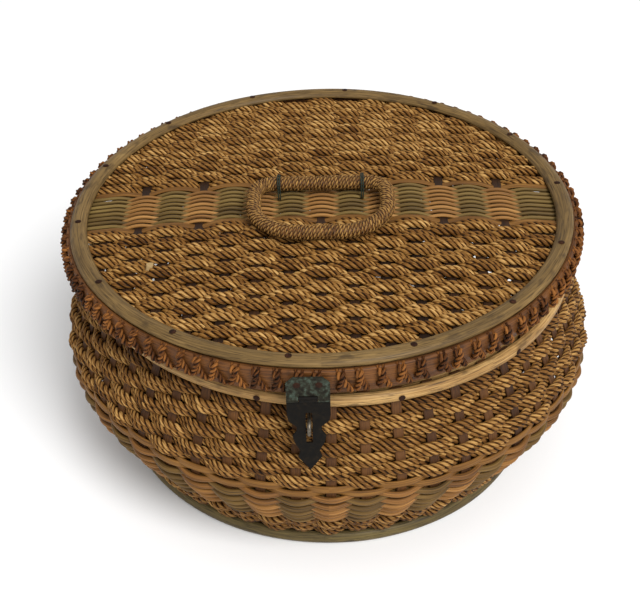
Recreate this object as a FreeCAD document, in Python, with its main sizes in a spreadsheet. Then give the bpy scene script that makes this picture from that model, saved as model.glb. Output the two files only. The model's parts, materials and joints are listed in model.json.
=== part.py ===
import FreeCAD, Part
import math
import os
import Sketcher
from FreeCAD import Placement, Rotation, Vector

# Round wicker work basket with a hinged lid, a swinging grip on the lid and a
# hasp that drops over a staple on the front. Millimetres, +Z up. The origin is
# the centre of the foot on the table, the hasp is at -Y and the hinge at +Y.
# Lid pieces are drawn in the lid's own frame: its origin is the lid's centre,
# level with the underside of the lid's top hoop.

SIZES = [
    # The side wall, measured on the outer face of the stakes. The belly and the
    # foot, the lid and its fittings all follow the rim's radius and height.
    ("rim_wall_radius", 152.6),
    ("rim_height", 137.9),
    ("belly_swell", 23.9),
    ("foot_taper", 15.0),
    ("foot_bend_height", 10.0),
    ("belly_corner_height", 75.0),
    ("belly_arc", 41.0),
    # Upright stakes of flat reed.
    ("stake_width", 6.2),
    ("stake_thickness", 2.6),
    ("stake_count", 52),
    ("stake_phase", 0.4),
    ("stake_foot_gap", 0.6),
    # Layers woven outside the stakes, from the foot up.
    ("cord_depth", 4.1),
    ("layer_gap", 0.1),
    ("border_top", 36.8),
    ("reed_band_top", 75.2),
    ("flat_row_height", 4.35),
    # Half-round hoops.
    ("hoop_depth", 4.4),
    ("foot_hoop_height", 9.5),
    ("rim_hoop_height", 8.9),
    ("base_thickness", 3.0),
    ("base_edge_gap", 0.2),
    # Lid.
    ("lid_shift", 4.5),
    ("lid_lean", 1.5),
    ("lid_seat_gap", 0.35),
    ("seat_overhang", 1.8),
    ("lid_hoop_overhang", 1.2),
    ("lid_hoop_width", 10.8),
    ("lid_hoop_crown", 4.0),
    ("lid_dome", 8.5),
    ("weave_edge_gap", 0.4),
    ("lid_cord_depth", 3.8),
    ("rib_width", 6.2),
    ("rib_thickness", 2.6),
    ("rib_count", 15),
    ("lid_reed_radius", 1.15),
    ("lid_reed_pitch", 2.4),
    ("lid_reed_count", 16),
    ("lid_flat_reed_width", 4.6),
    ("lid_flat_reed_thickness", 1.6),
    ("seat_hoop_wall", 3.8),
    ("seat_hoop_height", 20.0),
    ("rim_band_gap", 0.6),
    ("rim_band_wall", 2.0),
    ("rim_band_top", 1.0),
    ("rim_band_bottom", 13.0),
    ("lashing_diameter", 2.9),
    ("lashing_length", 15.0),
    ("lashing_lean", 28.0),
    ("lashing_count", 90),
    ("lashing_gap", 0.25),
    # Nails in the hoops and in the metal fittings.
    ("nail_head_radius", 2.0),
    ("nail_head_height", 0.5),
    ("nail_shank_radius", 0.8),
    ("nail_hole_gap", 0.05),
    ("rim_nail_count", 12),
    ("rim_nail_phase", 15.0),
    ("lid_nail_count", 14),
    ("lid_nail_phase", -6.6),
    # Grip on the lid.
    ("grip_half_width", 42.0),
    ("grip_depth", 55.0),
    ("grip_back_corner", 12.0),
    ("grip_front_corner", 30.0),
    ("grip_core_radius", 3.0),
    ("grip_bore_gap", 0.05),
    ("grip_wrap_wall", 1.7),
    ("grip_back", 7.4),
    ("grip_rest_gap", 0.35),
    ("grip_tilt", 0.9),
    ("tie_radius", 1.1),
    ("tie_gap", 0.3),
    ("tie_spacing", 52.0),
    ("tie_foot_gap", 0.05),
    # Sheet-metal hasp and its staple.
    ("hasp_bearing", 2.82),
    ("hasp_width", 24.0),
    ("hasp_plate", 1.2),
    ("hasp_stand_off", 0.3),
    ("hasp_leaf_top", 0.7),
    ("hasp_pivot_drop", 15.8),
    ("barrel_radius", 2.1),
    ("pin_radius", 1.0),
    ("pin_bore_gap", 0.04),
    ("strap_knuckle", 10.4),
    ("knuckle_gap", 0.25),
    ("strap_tilt", 7.5),
    ("strap_length", 47.6),
    ("slot_top", 9.0),
    ("slot_bottom", 29.0),
    ("slot_width", 3.6),
    ("staple_wire_radius", 1.1),
    ("staple_drop", 13.8),
    ("staple_spread", 7.3),
    ("staple_hole_gap", 0.05),
    ("staple_stand_out", 20.8),
    ("staple_depth", 22.4),
    # Butt hinge at the back.
    ("hinge_width", 36.0),
    ("hinge_knuckle", 14.0),
    ("hinge_pin_rise", 1.5),
    ("hinge_leaf_rise", 9.2),
    ("hinge_leaf_drop", 10.4),
    ("leaf_rest_gap", 0.05),
]

DERIVED = [
    ("belly_corner_radius", "rim_wall_radius + belly_swell"),
    ("foot_wall_radius", "rim_wall_radius - foot_taper"),
    ("rim_bend_height", "rim_height - rim_hoop_height"),
    ("seat_hoop_radius", "rim_wall_radius + hoop_depth + seat_overhang"),
    ("lid_hoop_radius", "seat_hoop_radius + lid_hoop_overhang"),
    ("rim_band_inner_radius", "lid_hoop_radius + rim_band_gap"),
    ("lid_weave_radius", "seat_hoop_radius - seat_hoop_wall - weave_edge_gap"),
    ("rib_pitch", "2 * lid_weave_radius / (rib_count + 1)"),
    ("hasp_centre", "rim_wall_radius * sin(hasp_bearing * 1 deg)"),
    ("staple_low_leg", "rim_height - staple_drop"),
    ("staple_reach", "rim_wall_radius + staple_stand_out"),
    ("hinge_pin_height", "rim_height + hinge_pin_rise"),
    # Bores and holes clear what passes through them.
    ("nail_hole_radius", "nail_shank_radius + nail_hole_gap"),
    ("pin_bore_radius", "pin_radius + pin_bore_gap"),
    ("grip_wrap_bore", "grip_core_radius + grip_bore_gap"),
    ("grip_wrap_radius", "grip_wrap_bore + grip_wrap_wall"),
    # Lean of the wall below and above the belly, and the arc that joins them.
    ("lower_lean", "atan((belly_corner_radius - foot_wall_radius)"
                   " / (belly_corner_height - foot_bend_height))"),
    ("upper_lean", "atan((belly_corner_radius - rim_wall_radius)"
                   " / (rim_bend_height - belly_corner_height))"),
    ("belly_run", "belly_arc * tan((lower_lean + upper_lean) / 2)"),
    ("belly_rise", "belly_arc * (1 - cos((lower_lean + upper_lean) / 2))"),
    ("low_bend_radius", "belly_corner_radius - belly_run * sin(lower_lean)"),
    ("low_bend_height", "belly_corner_height - belly_run * cos(lower_lean)"),
    ("high_bend_radius", "belly_corner_radius - belly_run * sin(upper_lean)"),
    ("high_bend_height", "belly_corner_height + belly_run * cos(upper_lean)"),
    # Circles through a hoop's two edges and its crown.
    ("foot_hoop_arc", "(foot_hoop_height ^ 2 / 4 + hoop_depth ^ 2) / (2 * hoop_depth)"),
    ("rim_hoop_arc", "(rim_hoop_height ^ 2 / 4 + hoop_depth ^ 2) / (2 * hoop_depth)"),
    ("lid_hoop_arc", "(lid_hoop_width ^ 2 / 4 + lid_hoop_crown ^ 2) / (2 * lid_hoop_crown)"),
    # The lid's dome: its top touches the hoop's inner edge level with its underside.
    ("lid_hoop_inner", "lid_hoop_radius - lid_hoop_width"),
    ("dome_arc", "(lid_hoop_inner ^ 2 + lid_dome ^ 2) / (2 * lid_dome)"),
    ("dome_centre", "lid_dome - dome_arc - layer_gap"),
    ("rib_face", "dome_arc - lid_cord_depth - layer_gap"),
    ("reed_route", "rib_face + layer_gap + lid_reed_radius"),
    # Height of the lid's frame: its lowest edge clears the rim when it leans.
    ("lid_height", "rim_height + lid_seat_gap + seat_hoop_height"
                   " + seat_hoop_radius * sin(lid_lean * 1 deg)"),
    ("grip_height", "lid_dome + grip_wrap_radius + grip_rest_gap"),
    ("lashing_radius", "rim_band_inner_radius + rim_band_wall + lashing_gap"
                       " + lashing_diameter / 2"),
    ("leaf_inner", "lashing_radius + lashing_diameter / 2 + hasp_stand_off"),
    ("leaf_middle", "leaf_inner + hasp_plate / 2"),
    ("staple_arc", "staple_spread / 2"),
    ("hinge_pin_back", "seat_hoop_radius + barrel_radius + knuckle_gap"),
]

# The strap's right edge below its shoulder, as shares of its half width and length.
STRAP_EDGE = [(1.0, 0.22), (0.94, 0.30), (0.58, 0.38), (0.58, 0.44), (0.78, 0.51),
              (0.70, 0.60), (0.44, 0.73), (0.56, 0.81), (0.30, 0.90)]

FULL_TURN = 360.0
MARGIN = 1.0
BIG = 400.0


def make_sheet(doc):
    """Put every size in a sheet, the driving ones first."""
    sheet = doc.addObject("Spreadsheet::Sheet", "sizes")
    for row, (name, value) in enumerate(SIZES, start=1):
        sheet.set("A%d" % row, name)
        sheet.set("B%d" % row, str(value))
        sheet.setAlias("B%d" % row, name)
    doc.recompute()
    for row, (name, formula) in enumerate(DERIVED, start=len(SIZES) + 1):
        sheet.set("A%d" % row, name)
        sheet.set("B%d" % row, "=" + formula)
        sheet.setAlias("B%d" % row, name)
        doc.recompute()
    return sheet


doc = FreeCAD.newDocument("work_basket")
sheet = make_sheet(doc)


def size(name):
    """The number in a named cell."""
    value = sheet.get(name)
    return value.Value if hasattr(value, "Value") else float(value)


def total(text):
    """The value of a sum of named cells, such as 'rim_height - hoop_depth'."""
    result = 0.0
    sign = 1.0
    for word in text.split():
        if word in "+-":
            sign = 1.0 if word == "+" else -1.0
        else:
            result += sign * size(word)
            sign = 1.0
    return result


def formula(text):
    """The same sum written for an expression."""
    words = [word if word in "+-" else "sizes." + word for word in text.split()]
    return " ".join(words)


def bind(item, **sizes):
    """Bind properties of an object to sums of cells."""
    for name, text in sizes.items():
        item.setExpression(name, formula(text))
    return item


def lid_frame():
    """Where the lid's own frame sits: shifted to the left, its right side up."""
    centre = Vector(-size("lid_shift"), 0.0, size("lid_height"))
    return Placement(centre, Rotation(Vector(0, 1, 0), -size("lid_lean")))


# ---------------------------------------------------------------- sketches

def origin_part(body, role):
    """One of a body's own origin planes or axes."""
    return [item for item in body.Origin.OriginFeatures if item.Role == role][0]


def new_body(label):
    body = doc.addObject("PartDesign::Body", label)
    body.Label = label
    return body


def new_sketch(body, name, role):
    sketch = body.newObject("Sketcher::SketchObject", name)
    sketch.AttachmentSupport = [(origin_part(body, role), "")]
    sketch.MapMode = "FlatFace"
    return sketch


def drive(sketch, kind, geometry, point, text):
    """Tie one coordinate of a point to a sum of cells; zero means on the axis."""
    if text == "0":
        axis = -2 if kind == "DistanceX" else -1
        sketch.addConstraint(Sketcher.Constraint("PointOnObject", geometry, point, axis))
        return
    index = sketch.addConstraint(
        Sketcher.Constraint(kind, -1, 1, geometry, point, total(text)))
    sketch.setExpression("Constraints[%d]" % index, formula(text))


def place(text_pair):
    """The point that a pair of sums gives."""
    across, up = text_pair
    return Vector(0.0 if across == "0" else total(across),
                  0.0 if up == "0" else total(up), 0.0)


def arc_between(start, end, rise, side):
    """An arc whose crown stands off its chord; side +1 is left of the chord.

    It always runs counter-clockwise, so on side +1 it runs from end to start.
    """
    chord = end - start
    left = Vector(-chord.y, chord.x, 0.0).normalize()
    crown = (start + end) * 0.5 + left * (rise * side)
    return Part.Arc(end, crown, start) if side > 0 else Part.Arc(start, crown, end)


def outline(sketch, corners, arcs=None):
    """A closed outline; arcs maps an edge's number to its radius, rise and side."""
    arcs = arcs or {}
    spots = [place(corner) for corner in corners]
    count = len(corners)
    ends = []
    for index in range(count):
        start = spots[index]
        end = spots[(index + 1) % count]
        if index in arcs:
            radius, rise, side = arcs[index]
            edge = arc_between(start, end, total(rise), side)
            number = sketch.addGeometry(edge, False)
            ends.append((number, 2, 1) if side > 0 else (number, 1, 2))
            limit = sketch.addConstraint(
                Sketcher.Constraint("Radius", number, total(radius)))
            sketch.setExpression("Constraints[%d]" % limit, formula(radius))
        else:
            number = sketch.addGeometry(Part.LineSegment(start, end), False)
            ends.append((number, 1, 2))
    for index in range(count):
        number, first, last = ends[index]
        following, following_first, _ = ends[(index + 1) % count]
        sketch.addConstraint(
            Sketcher.Constraint("Coincident", number, last, following, following_first))
        drive(sketch, "DistanceX", number, first, corners[index][0])
        drive(sketch, "DistanceY", number, first, corners[index][1])
    doc.recompute()
    return sketch


def revolve(label, corners, arcs=None):
    """A body turned about +Z from an outline of (radius, height) corners."""
    body = new_body(label)
    sketch = outline(new_sketch(body, label + "_section", "XZ_Plane"), corners, arcs)
    turn = body.newObject("PartDesign::Revolution", label + "_turn")
    turn.Profile = sketch
    turn.ReferenceAxis = (sketch, ["V_Axis"])
    turn.Angle = FULL_TURN
    doc.recompute()
    return body


def extrude(label, role, corners, thickness, arcs=None):
    """A body of an outline, half its thickness to each side of an origin plane."""
    body = new_body(label)
    sketch = outline(new_sketch(body, label + "_outline", role), corners, arcs)
    pad = body.newObject("PartDesign::Pad", label + "_pad")
    pad.Profile = sketch
    pad.Midplane = True
    bind(pad, Length=thickness)
    doc.recompute()
    return body


# ------------------------------------------------------- Part building blocks

def cylinder(name, radius, height, base, axis):
    """A cylinder from a base point along an axis."""
    item = doc.addObject("Part::Cylinder", name)
    bind(item, Radius=radius, Height=height)
    item.Placement = Placement(base, Rotation(Vector(0, 0, 1), axis))
    return item


def join(label, items):
    item = doc.addObject("Part::MultiFuse", label)
    item.Label = label
    item.Shapes = items
    doc.recompute()
    return item


def subtract(label, base, tool):
    item = doc.addObject("Part::Cut", label)
    item.Base = base
    item.Tool = tool
    doc.recompute()
    item.Label = label
    return item


def group(label, seed, placements):
    """Copies of a seed as separate solids in one sub-part."""
    links = []
    for index, where in enumerate(placements):
        link = doc.addObject("App::Link", "%s_copy_%02d" % (label, index))
        link.LinkedObject = seed
        link.LinkTransform = True
        link.Placement = where
        links.append(link)
    item = doc.addObject("Part::Compound", label)
    item.Label = label
    item.Links = links
    doc.recompute()
    return item


def around(count, phase):
    """Turns about +Z, evenly spaced; zero is towards -Y and angles run to +X."""
    turns = []
    for index in range(int(count)):
        angle = phase + FULL_TURN * index / int(count) - FULL_TURN / 4
        turns.append(Placement(Vector(), Rotation(Vector(0, 0, 1), angle)))
    return turns


def nail(name, length):
    """A nail along +X whose head sits on the origin and whose shank points to -X."""
    head = doc.addObject("Part::Cone", name + "_head")
    bind(head, Radius1="nail_head_radius", Height="nail_head_height",
         Radius2="nail_shank_radius")
    head.Placement = Placement(Vector(), Rotation(Vector(0, 0, 1), Vector(1, 0, 0)))
    shank = cylinder(name + "_shank", "nail_shank_radius", length,
                     Vector(-total(length), 0, 0), Vector(1, 0, 0))
    return join(name, [head, shank])


# ------------------------------------------------------------------ the wall

def wall_outline(outer, inner, low, high):
    """Corners and arcs of a strip of wall between two offsets from the stakes' face."""
    stations = ["foot_wall_radius", "foot_wall_radius", "low_bend_radius",
                "high_bend_radius", "rim_wall_radius", "rim_wall_radius"]
    heights = [low, "foot_bend_height", "low_bend_height",
               "high_bend_height", "rim_bend_height", high]
    out = [(radius + outer, up) for radius, up in zip(stations, heights)]
    back = [(radius + inner, up) for radius, up in zip(stations, heights)]
    corners = out + back[::-1]
    return corners, {2: belly_bend(-1), 8: belly_bend(1)}


def belly_bend(side):
    return ("belly_arc", "belly_rise", side)


def make_stakes():
    """Upright stakes: flat reed, straight at the foot and the rim, bent at the belly."""
    corners, arcs = wall_outline("", " - stake_thickness", "stake_foot_gap", "rim_height")
    stake = extrude("one_stake", "XZ_Plane", corners, "stake_width", arcs)
    return group("side_stakes", stake, around(size("stake_count"), size("stake_phase")))


def make_weave():
    """The woven layers outside the stakes, cut by height from one shell."""
    corners, arcs = wall_outline(" + layer_gap + cord_depth", " + layer_gap",
                                 "foot_bend_height - layer_gap", "rim_bend_height")
    corners = corners[1:5] + corners[7:11]
    arcs = {1: belly_bend(-1), 5: belly_bend(1)}
    shell = revolve("wall_layer", corners, arcs)
    bands = [
        ("lower_cord_border", "foot_bend_height", "border_top"),
        ("reed_band", "border_top + layer_gap", "reed_band_top"),
        ("flat_reed_lower_row", "reed_band_top + layer_gap",
         "reed_band_top + flat_row_height"),
        ("flat_reed_upper_row", "reed_band_top + flat_row_height + layer_gap",
         "reed_band_top + flat_row_height + flat_row_height"),
        ("upper_cord_layer", "reed_band_top + flat_row_height + flat_row_height + layer_gap",
         "rim_height - rim_hoop_height - layer_gap"),
    ]
    made = {}
    for label, low, high in bands:
        slab = doc.addObject("Part::Cylinder", label + "_slab")
        slab.Radius = BIG
        slab.setExpression("Height", formula(high) + " - (" + formula(low) + ")")
        slab.setExpression("Placement.Base.z", formula(low))
        band = doc.addObject("Part::Common", label)
        band.Base = shell
        band.Tool = slab
        doc.recompute()
        band.Label = label
        made[label] = band
    return made


def upright_hoop(label, low, high, wall, arc, side):
    """A half-round hoop on the wall: side -1 stands on its outside, +1 inside."""
    face = wall + " + layer_gap" if side < 0 else wall + " - stake_thickness - layer_gap"
    return revolve(label, [(face, low), (face, high)], {0: (arc, "hoop_depth", side)})


def make_foot():
    """The hoops that clamp the stakes at the foot, and the woven base on them."""
    outer = upright_hoop("foot_hoop", "0", "foot_hoop_height", "foot_wall_radius",
                         "foot_hoop_arc", -1)
    face = "foot_wall_radius - stake_thickness - layer_gap"
    inner = square_hoop("foot_hoop_inner", face + " - hoop_depth", face, "0",
                        "foot_hoop_height")
    base = doc.addObject("Part::Cylinder", "base_panel")
    bind(base, Radius="foot_wall_radius - stake_thickness - base_edge_gap",
         Height="base_thickness")
    base.setExpression("Placement.Base.z", formula("foot_hoop_height + layer_gap"))
    return [outer, inner, base]


def make_rim():
    """Outer and inner hoops of the rim and the nails that hold the outer one."""
    low = "rim_height - rim_hoop_height"
    hoop, inner = [upright_hoop(label, low, "rim_height", "rim_wall_radius",
                                "rim_hoop_arc", side)
                   for label, side in (("rim_hoop_blank", -1), ("rim_hoop_inner", 1))]
    middle = total("rim_height") - total("rim_hoop_height") / 2
    crown = total("rim_wall_radius + layer_gap + hoop_depth")
    seat = Placement(Vector(crown, 0, middle), Rotation())
    seed = nail("one_rim_nail", "hoop_depth - layer_gap")
    turns = around(size("rim_nail_count"), size("rim_nail_phase"))
    nails = group("rim_nails", seed, [turn.multiply(seat) for turn in turns])
    drill = cylinder("one_rim_drill", "nail_hole_radius", "hoop_depth + hoop_depth",
                     Vector(crown - size("hoop_depth") - MARGIN, 0, middle), Vector(1, 0, 0))
    drills = group("rim_drills", drill, turns)
    return hoop, inner, nails, drills


# ------------------------------------------------------------------- the lid

def tilted(axis, offset):
    """A turn about the dome's centre that carries the crown sideways by an offset."""
    angle = math.degrees(math.asin(offset / size("dome_arc")))
    turn = Rotation(axis, angle)
    return Placement(Vector(), turn, Vector(0, 0, size("dome_centre")))


def dome_block(name, length, width, shift=0.0):
    """A block over the lid, long enough to be trimmed round; used to cut strips."""
    block = doc.addObject("Part::Box", name)
    block.Length = length
    block.Width = width
    block.Height = BIG
    block.Placement = Placement(Vector(-length / 2, shift - width / 2, -BIG / 2), Rotation())
    return block


def dome_layer(name, face, thickness):
    """A round shell of the lid: face is its outer radius about the dome's centre."""
    shell = doc.addObject("Part::Cut", name)
    for part, radius in (("Base", face), ("Tool", face + " - " + thickness)):
        ball = doc.addObject("Part::Sphere", name + "_" + part.lower())
        bind(ball, Radius=radius)
        ball.setExpression("Placement.Base.z", formula("dome_centre"))
        setattr(shell, part, ball)
    doc.recompute()
    return shell


def keep_common(name, base, tool):
    kept = doc.addObject("Part::Common", name)
    kept.Base = base
    kept.Tool = tool
    doc.recompute()
    kept.Label = name
    return kept


def trim_round(label, item):
    """Keep what lies within the weave's edge."""
    drum = doc.addObject("Part::Cylinder", label + "_drum")
    bind(drum, Radius="lid_weave_radius")
    drum.Height = BIG
    drum.Placement = Placement(Vector(0, 0, -BIG / 2), Rotation())
    return keep_common(label, item, drum)


def make_lid_ribs():
    """Ribs of flat reed that run from front to back under the weave."""
    shell = dome_layer("rib_layer", "rib_face", "rib_thickness")
    rib = keep_common("one_rib", shell, dome_block("rib_block", size("rib_width"), BIG))
    count = int(size("rib_count"))
    pitch = size("rib_pitch")
    turns = [tilted(Vector(0, 1, 0), (index - (count - 1) / 2) * pitch)
             for index in range(count)]
    return trim_round("lid_ribs", group("lid_rib_blanks", rib, turns))


def make_lid_cords():
    """The two cord fields of the lid, front and back of the reed band."""
    shell = dome_layer("lid_layer", "dome_arc", "lid_cord_depth")
    edge = flat_reed_place() + size("lid_flat_reed_width") / 2 + size("layer_gap")
    return [trim_round(label, keep_common(label + "_square", shell, dome_block(
                label + "_block", BIG, BIG, side * (edge + BIG / 2))))
            for label, side in (("lid_cords_front", -1), ("lid_cords_back", 1))]


def flat_reed_place():
    """How far the flat reeds lie from the lid's middle."""
    band = size("lid_reed_pitch") * size("lid_reed_count") / 2
    return band + size("layer_gap") + size("lid_flat_reed_width") / 2


def crown_turn(half):
    """Turns a sector of half an angle about +Z into one about -Y, centred on the top."""
    upright = Rotation(Vector(1, 0, 0), Vector(0, 0, 1), Vector(0, -1, 0), "YZX")
    return upright.multiply(Rotation(Vector(0, 0, 1), FULL_TURN / 4 - half))


def half_angle(reach):
    """Half the angle of a strip that reaches so far to each side of the lid's middle."""
    return math.degrees(math.asin(reach / size("dome_arc")))


def make_lid_reeds():
    """Round reeds across the lid's middle, in two colours."""
    half = half_angle(size("lid_hoop_radius"))
    reed = doc.addObject("Part::Torus", "one_reed")
    bind(reed, Radius1="reed_route", Radius2="lid_reed_radius")
    reed.Angle3 = 2 * half
    reed.Placement = Placement(Vector(0, 0, size("dome_centre")), crown_turn(half))
    count = int(size("lid_reed_count"))
    made = []
    for label, first in (("lid_reeds_tan", 0), ("lid_reeds_green", 1)):
        turns = [tilted(Vector(-1, 0, 0), (index - (count - 1) / 2) * size("lid_reed_pitch"))
                 for index in range(first, count, 2)]
        made.append(trim_round(label, group(label + "_blanks", reed, turns)))
    return made


def make_lid_flats():
    """A flat reed along each side of the round ones, its ends just inside the edge."""
    outer_edge = flat_reed_place() + size("lid_flat_reed_width") / 2
    half = half_angle(math.sqrt(size("lid_weave_radius") ** 2 - outer_edge ** 2))
    base = Vector(0, size("lid_flat_reed_width") / 2, size("dome_centre"))
    wedges = []
    for name, face in (("flat_reed_outer", "rib_face + layer_gap + lid_flat_reed_thickness"),
                       ("flat_reed_inner", "rib_face + layer_gap")):
        wedge = doc.addObject("Part::Cylinder", name)
        bind(wedge, Radius=face, Height="lid_flat_reed_width")
        wedge.Angle = 2 * half
        wedge.Placement = Placement(base, crown_turn(half))
        wedges.append(wedge)
    strip = subtract("one_flat_reed", wedges[0], wedges[1])
    return group("lid_flat_reeds", strip, [
        tilted(Vector(-1, 0, 0), side * flat_reed_place()) for side in (-1, 1)])


def make_lid_hoops():
    """Crowned top hoop, seat hoop under it, and the flat band lashed round them."""
    top = revolve("lid_hoop_blank", [("lid_hoop_inner", "0"), ("lid_hoop_radius", "0")],
                  {0: ("lid_hoop_arc", "lid_hoop_crown", 1)})
    seat = square_hoop("lid_seat_hoop", "seat_hoop_radius - seat_hoop_wall",
                       "seat_hoop_radius", "- seat_hoop_height", "0")
    band = square_hoop("lid_rim_band", "rim_band_inner_radius",
                       "rim_band_inner_radius + rim_band_wall",
                       "- rim_band_bottom", "rim_band_top")
    return top, seat, band


def square_hoop(label, inner, outer, low, high):
    return revolve(label, [(inner, low), (outer, low), (outer, high), (inner, high)])


def make_lashing():
    """Cord wraps over the rim band, each one leaning."""
    wrap = cylinder("one_wrap", "lashing_diameter", "lashing_length", Vector(), Vector(0, 0, 1))
    wrap.setExpression("Radius", "sizes.lashing_diameter / 2")
    middle = (size("rim_band_top") - size("rim_band_bottom")) / 2
    lean = Placement(Vector(size("lashing_radius"), 0, middle),
                     Rotation(Vector(1, 0, 0), size("lashing_lean")))
    half = Placement(Vector(0, 0, -size("lashing_length") / 2), Rotation())
    seat = lean.multiply(half)
    turns = around(size("lashing_count"), 0.0)
    return group("lid_rim_lashing", wrap, [turn.multiply(seat) for turn in turns])


def make_lid_nails(hoop):
    """Nails down through the crown of the lid's top hoop."""
    seed = nail("one_lid_nail", "lid_hoop_crown")
    radius = size("lid_hoop_radius") - size("lid_hoop_width") / 2
    upright = Rotation(Vector(0, 1, 0), -90)
    seat = Placement(Vector(radius, 0, size("lid_hoop_crown")), upright)
    turns = around(size("lid_nail_count"), size("lid_nail_phase"))
    nails = group("lid_hoop_nails", seed, [turn.multiply(seat) for turn in turns])
    drill = cylinder("one_lid_drill", "nail_hole_radius", "lid_hoop_crown + lid_hoop_crown",
                     Vector(radius, 0, -MARGIN), Vector(0, 0, 1))
    drill.Placement.Rotation = Rotation(Vector(0, 0, 1), FULL_TURN / 8)
    return subtract("lid_hoop", hoop, group("lid_drills", drill, turns)), nails


# ------------------------------------------------------------------ the grip

def ring_bar(label, thickness):
    """A round bar on the grip's D-shaped route, its straight back along the X axis."""
    wide = size("grip_half_width")
    tight = size("grip_back_corner")
    broad = size("grip_front_corner")
    deep = size("grip_depth")
    straights = [(Vector(tight - wide, 0, 0), Vector(wide - tight, 0, 0)),
                 (Vector(wide, -tight, 0), Vector(wide, broad - deep, 0)),
                 (Vector(wide - broad, -deep, 0), Vector(broad - wide, -deep, 0)),
                 (Vector(-wide, broad - deep, 0), Vector(-wide, -tight, 0))]
    corners = [("grip_back_corner", wide - tight, -tight, 0.0),
               ("grip_back_corner", tight - wide, -tight, 90.0),
               ("grip_front_corner", broad - wide, broad - deep, 180.0),
               ("grip_front_corner", wide - broad, broad - deep, 270.0)]
    bars = []
    for index, (start, end) in enumerate(straights):
        bar = doc.addObject("Part::Cylinder", "%s_side_%d" % (label, index))
        bind(bar, Radius=thickness)
        bar.Height = (end - start).Length
        bar.Placement = Placement(start, Rotation(Vector(0, 0, 1), end - start))
        bars.append(bar)
    for index, (bend, x, y, turn) in enumerate(corners):
        bar = doc.addObject("Part::Torus", "%s_corner_%d" % (label, index))
        bind(bar, Radius1=bend, Radius2=thickness)
        bar.Angle3 = FULL_TURN / 4
        bar.Placement = Placement(Vector(x, y, 0), Rotation(Vector(0, 0, 1), turn))
        bars.append(bar)
    return join(label, bars)


def make_grip():
    """The grip's core and its cord wrapping, lying on the lid."""
    core = ring_bar("grip_core", "grip_core_radius")
    wrap = subtract("grip_wrap", ring_bar("grip_wrap_bar", "grip_wrap_radius"),
                    ring_bar("grip_wrap_bore", "grip_wrap_bore"))
    return core, wrap


def make_ties():
    """Two ties that arch over the grip's back side down to the lid's surface."""
    arc = size("grip_wrap_radius") + size("tie_gap") + size("tie_radius")
    pivot = Vector(0, size("grip_back"), size("grip_height"))
    bend = doc.addObject("Part::Torus", "tie_bend")
    bind(bend, Radius1="grip_wrap_radius + tie_gap + tie_radius", Radius2="tie_radius")
    bend.Angle3 = FULL_TURN / 2
    bend.Placement = Placement(pivot, Rotation(Vector(0, 1, 0), Vector(0, 0, 1),
                                               Vector(1, 0, 0), "YZX"))
    parts = [bend]
    crown = size("reed_route") + size("lid_reed_radius") + size("tie_foot_gap")
    for name, side in (("tie_leg_front", -1), ("tie_leg_back", 1)):
        leg_y = size("grip_back") + side * arc
        inner_edge = abs(leg_y) - size("tie_radius")
        ground = size("dome_centre") + math.sqrt(crown ** 2 - inner_edge ** 2)
        leg = doc.addObject("Part::Cylinder", name)
        bind(leg, Radius="tie_radius")
        leg.Height = size("grip_height") - ground
        leg.Placement = Placement(Vector(0, leg_y, ground), Rotation())
        parts.append(leg)
    tie = join("one_tie", parts)
    half = size("tie_spacing") / 2
    return group("grip_ties", tie,
                 [Placement(Vector(side * half, 0, 0), Rotation()) for side in (-1, 1)])


# ------------------------------------------------------------- metal fittings

def knuckle(name, left, right):
    """A hinge barrel along X between two places, about the X axis."""
    barrel = doc.addObject("Part::Cylinder", name)
    bind(barrel, Radius="barrel_radius")
    barrel.Height = right - left
    barrel.Placement = Placement(Vector(left, 0, 0), Rotation(Vector(0, 0, 1), Vector(1, 0, 0)))
    return barrel


def straight_pad(name, role, corners, thickness):
    """A straight-edged outline on an origin plane, padded half to each side."""
    body = new_body(name)
    sketch = new_sketch(body, name + "_outline", role)
    spots = [Vector(across, up, 0) for across, up in corners]
    for index, spot in enumerate(spots):
        sketch.addGeometry(Part.LineSegment(spot, spots[(index + 1) % len(spots)]), False)
    pad = body.newObject("PartDesign::Pad", name + "_pad")
    pad.Profile = sketch
    pad.Midplane = True
    bind(pad, Length=thickness)
    doc.recompute()
    return body


def plate(name, corners):
    """A plate of the hasp's sheet metal in the XZ plane of its pin."""
    return straight_pad(name, "XZ_Plane", corners, "hasp_plate")


def pin_bore(name, width):
    bore = doc.addObject("Part::Cylinder", name)
    bind(bore, Radius="pin_bore_radius")
    bore.Height = width + 2 * MARGIN
    bore.Placement = Placement(Vector(-width / 2 - MARGIN, 0, 0),
                               Rotation(Vector(0, 0, 1), Vector(1, 0, 0)))
    return bore


def barrelled(label, plate_solid, width, knuckles, nail_spots, nail_depth):
    """A plate with its barrels, its pin bore and its nail holes, about its pin."""
    solid = join(label + "_solid", [plate_solid] + [
        knuckle("%s_barrel_%d" % (label, index), left, right)
        for index, (left, right) in enumerate(knuckles)])
    tools = [pin_bore(label + "_bore", width)]
    for index, (x, z) in enumerate(nail_spots):
        start = Vector(x, nail_depth - size("hasp_plate"), z)
        tools.append(cylinder("%s_hole_%d" % (label, index), "nail_hole_radius",
                              "hasp_plate + hasp_plate", start, Vector(0, 1, 0)))
    return subtract(label, solid, join(label + "_tools", tools))


def hasp_frame():
    """The hasp's pin in the lid's frame."""
    return Placement(Vector(-size("hasp_centre"), -size("leaf_middle"),
                            -size("hasp_pivot_drop")), Rotation())


def leaf_nail_spots(rise, half_width):
    """Two nails side by side on a leaf."""
    return [(-half_width / 2, rise), (half_width / 2, rise)]


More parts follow.
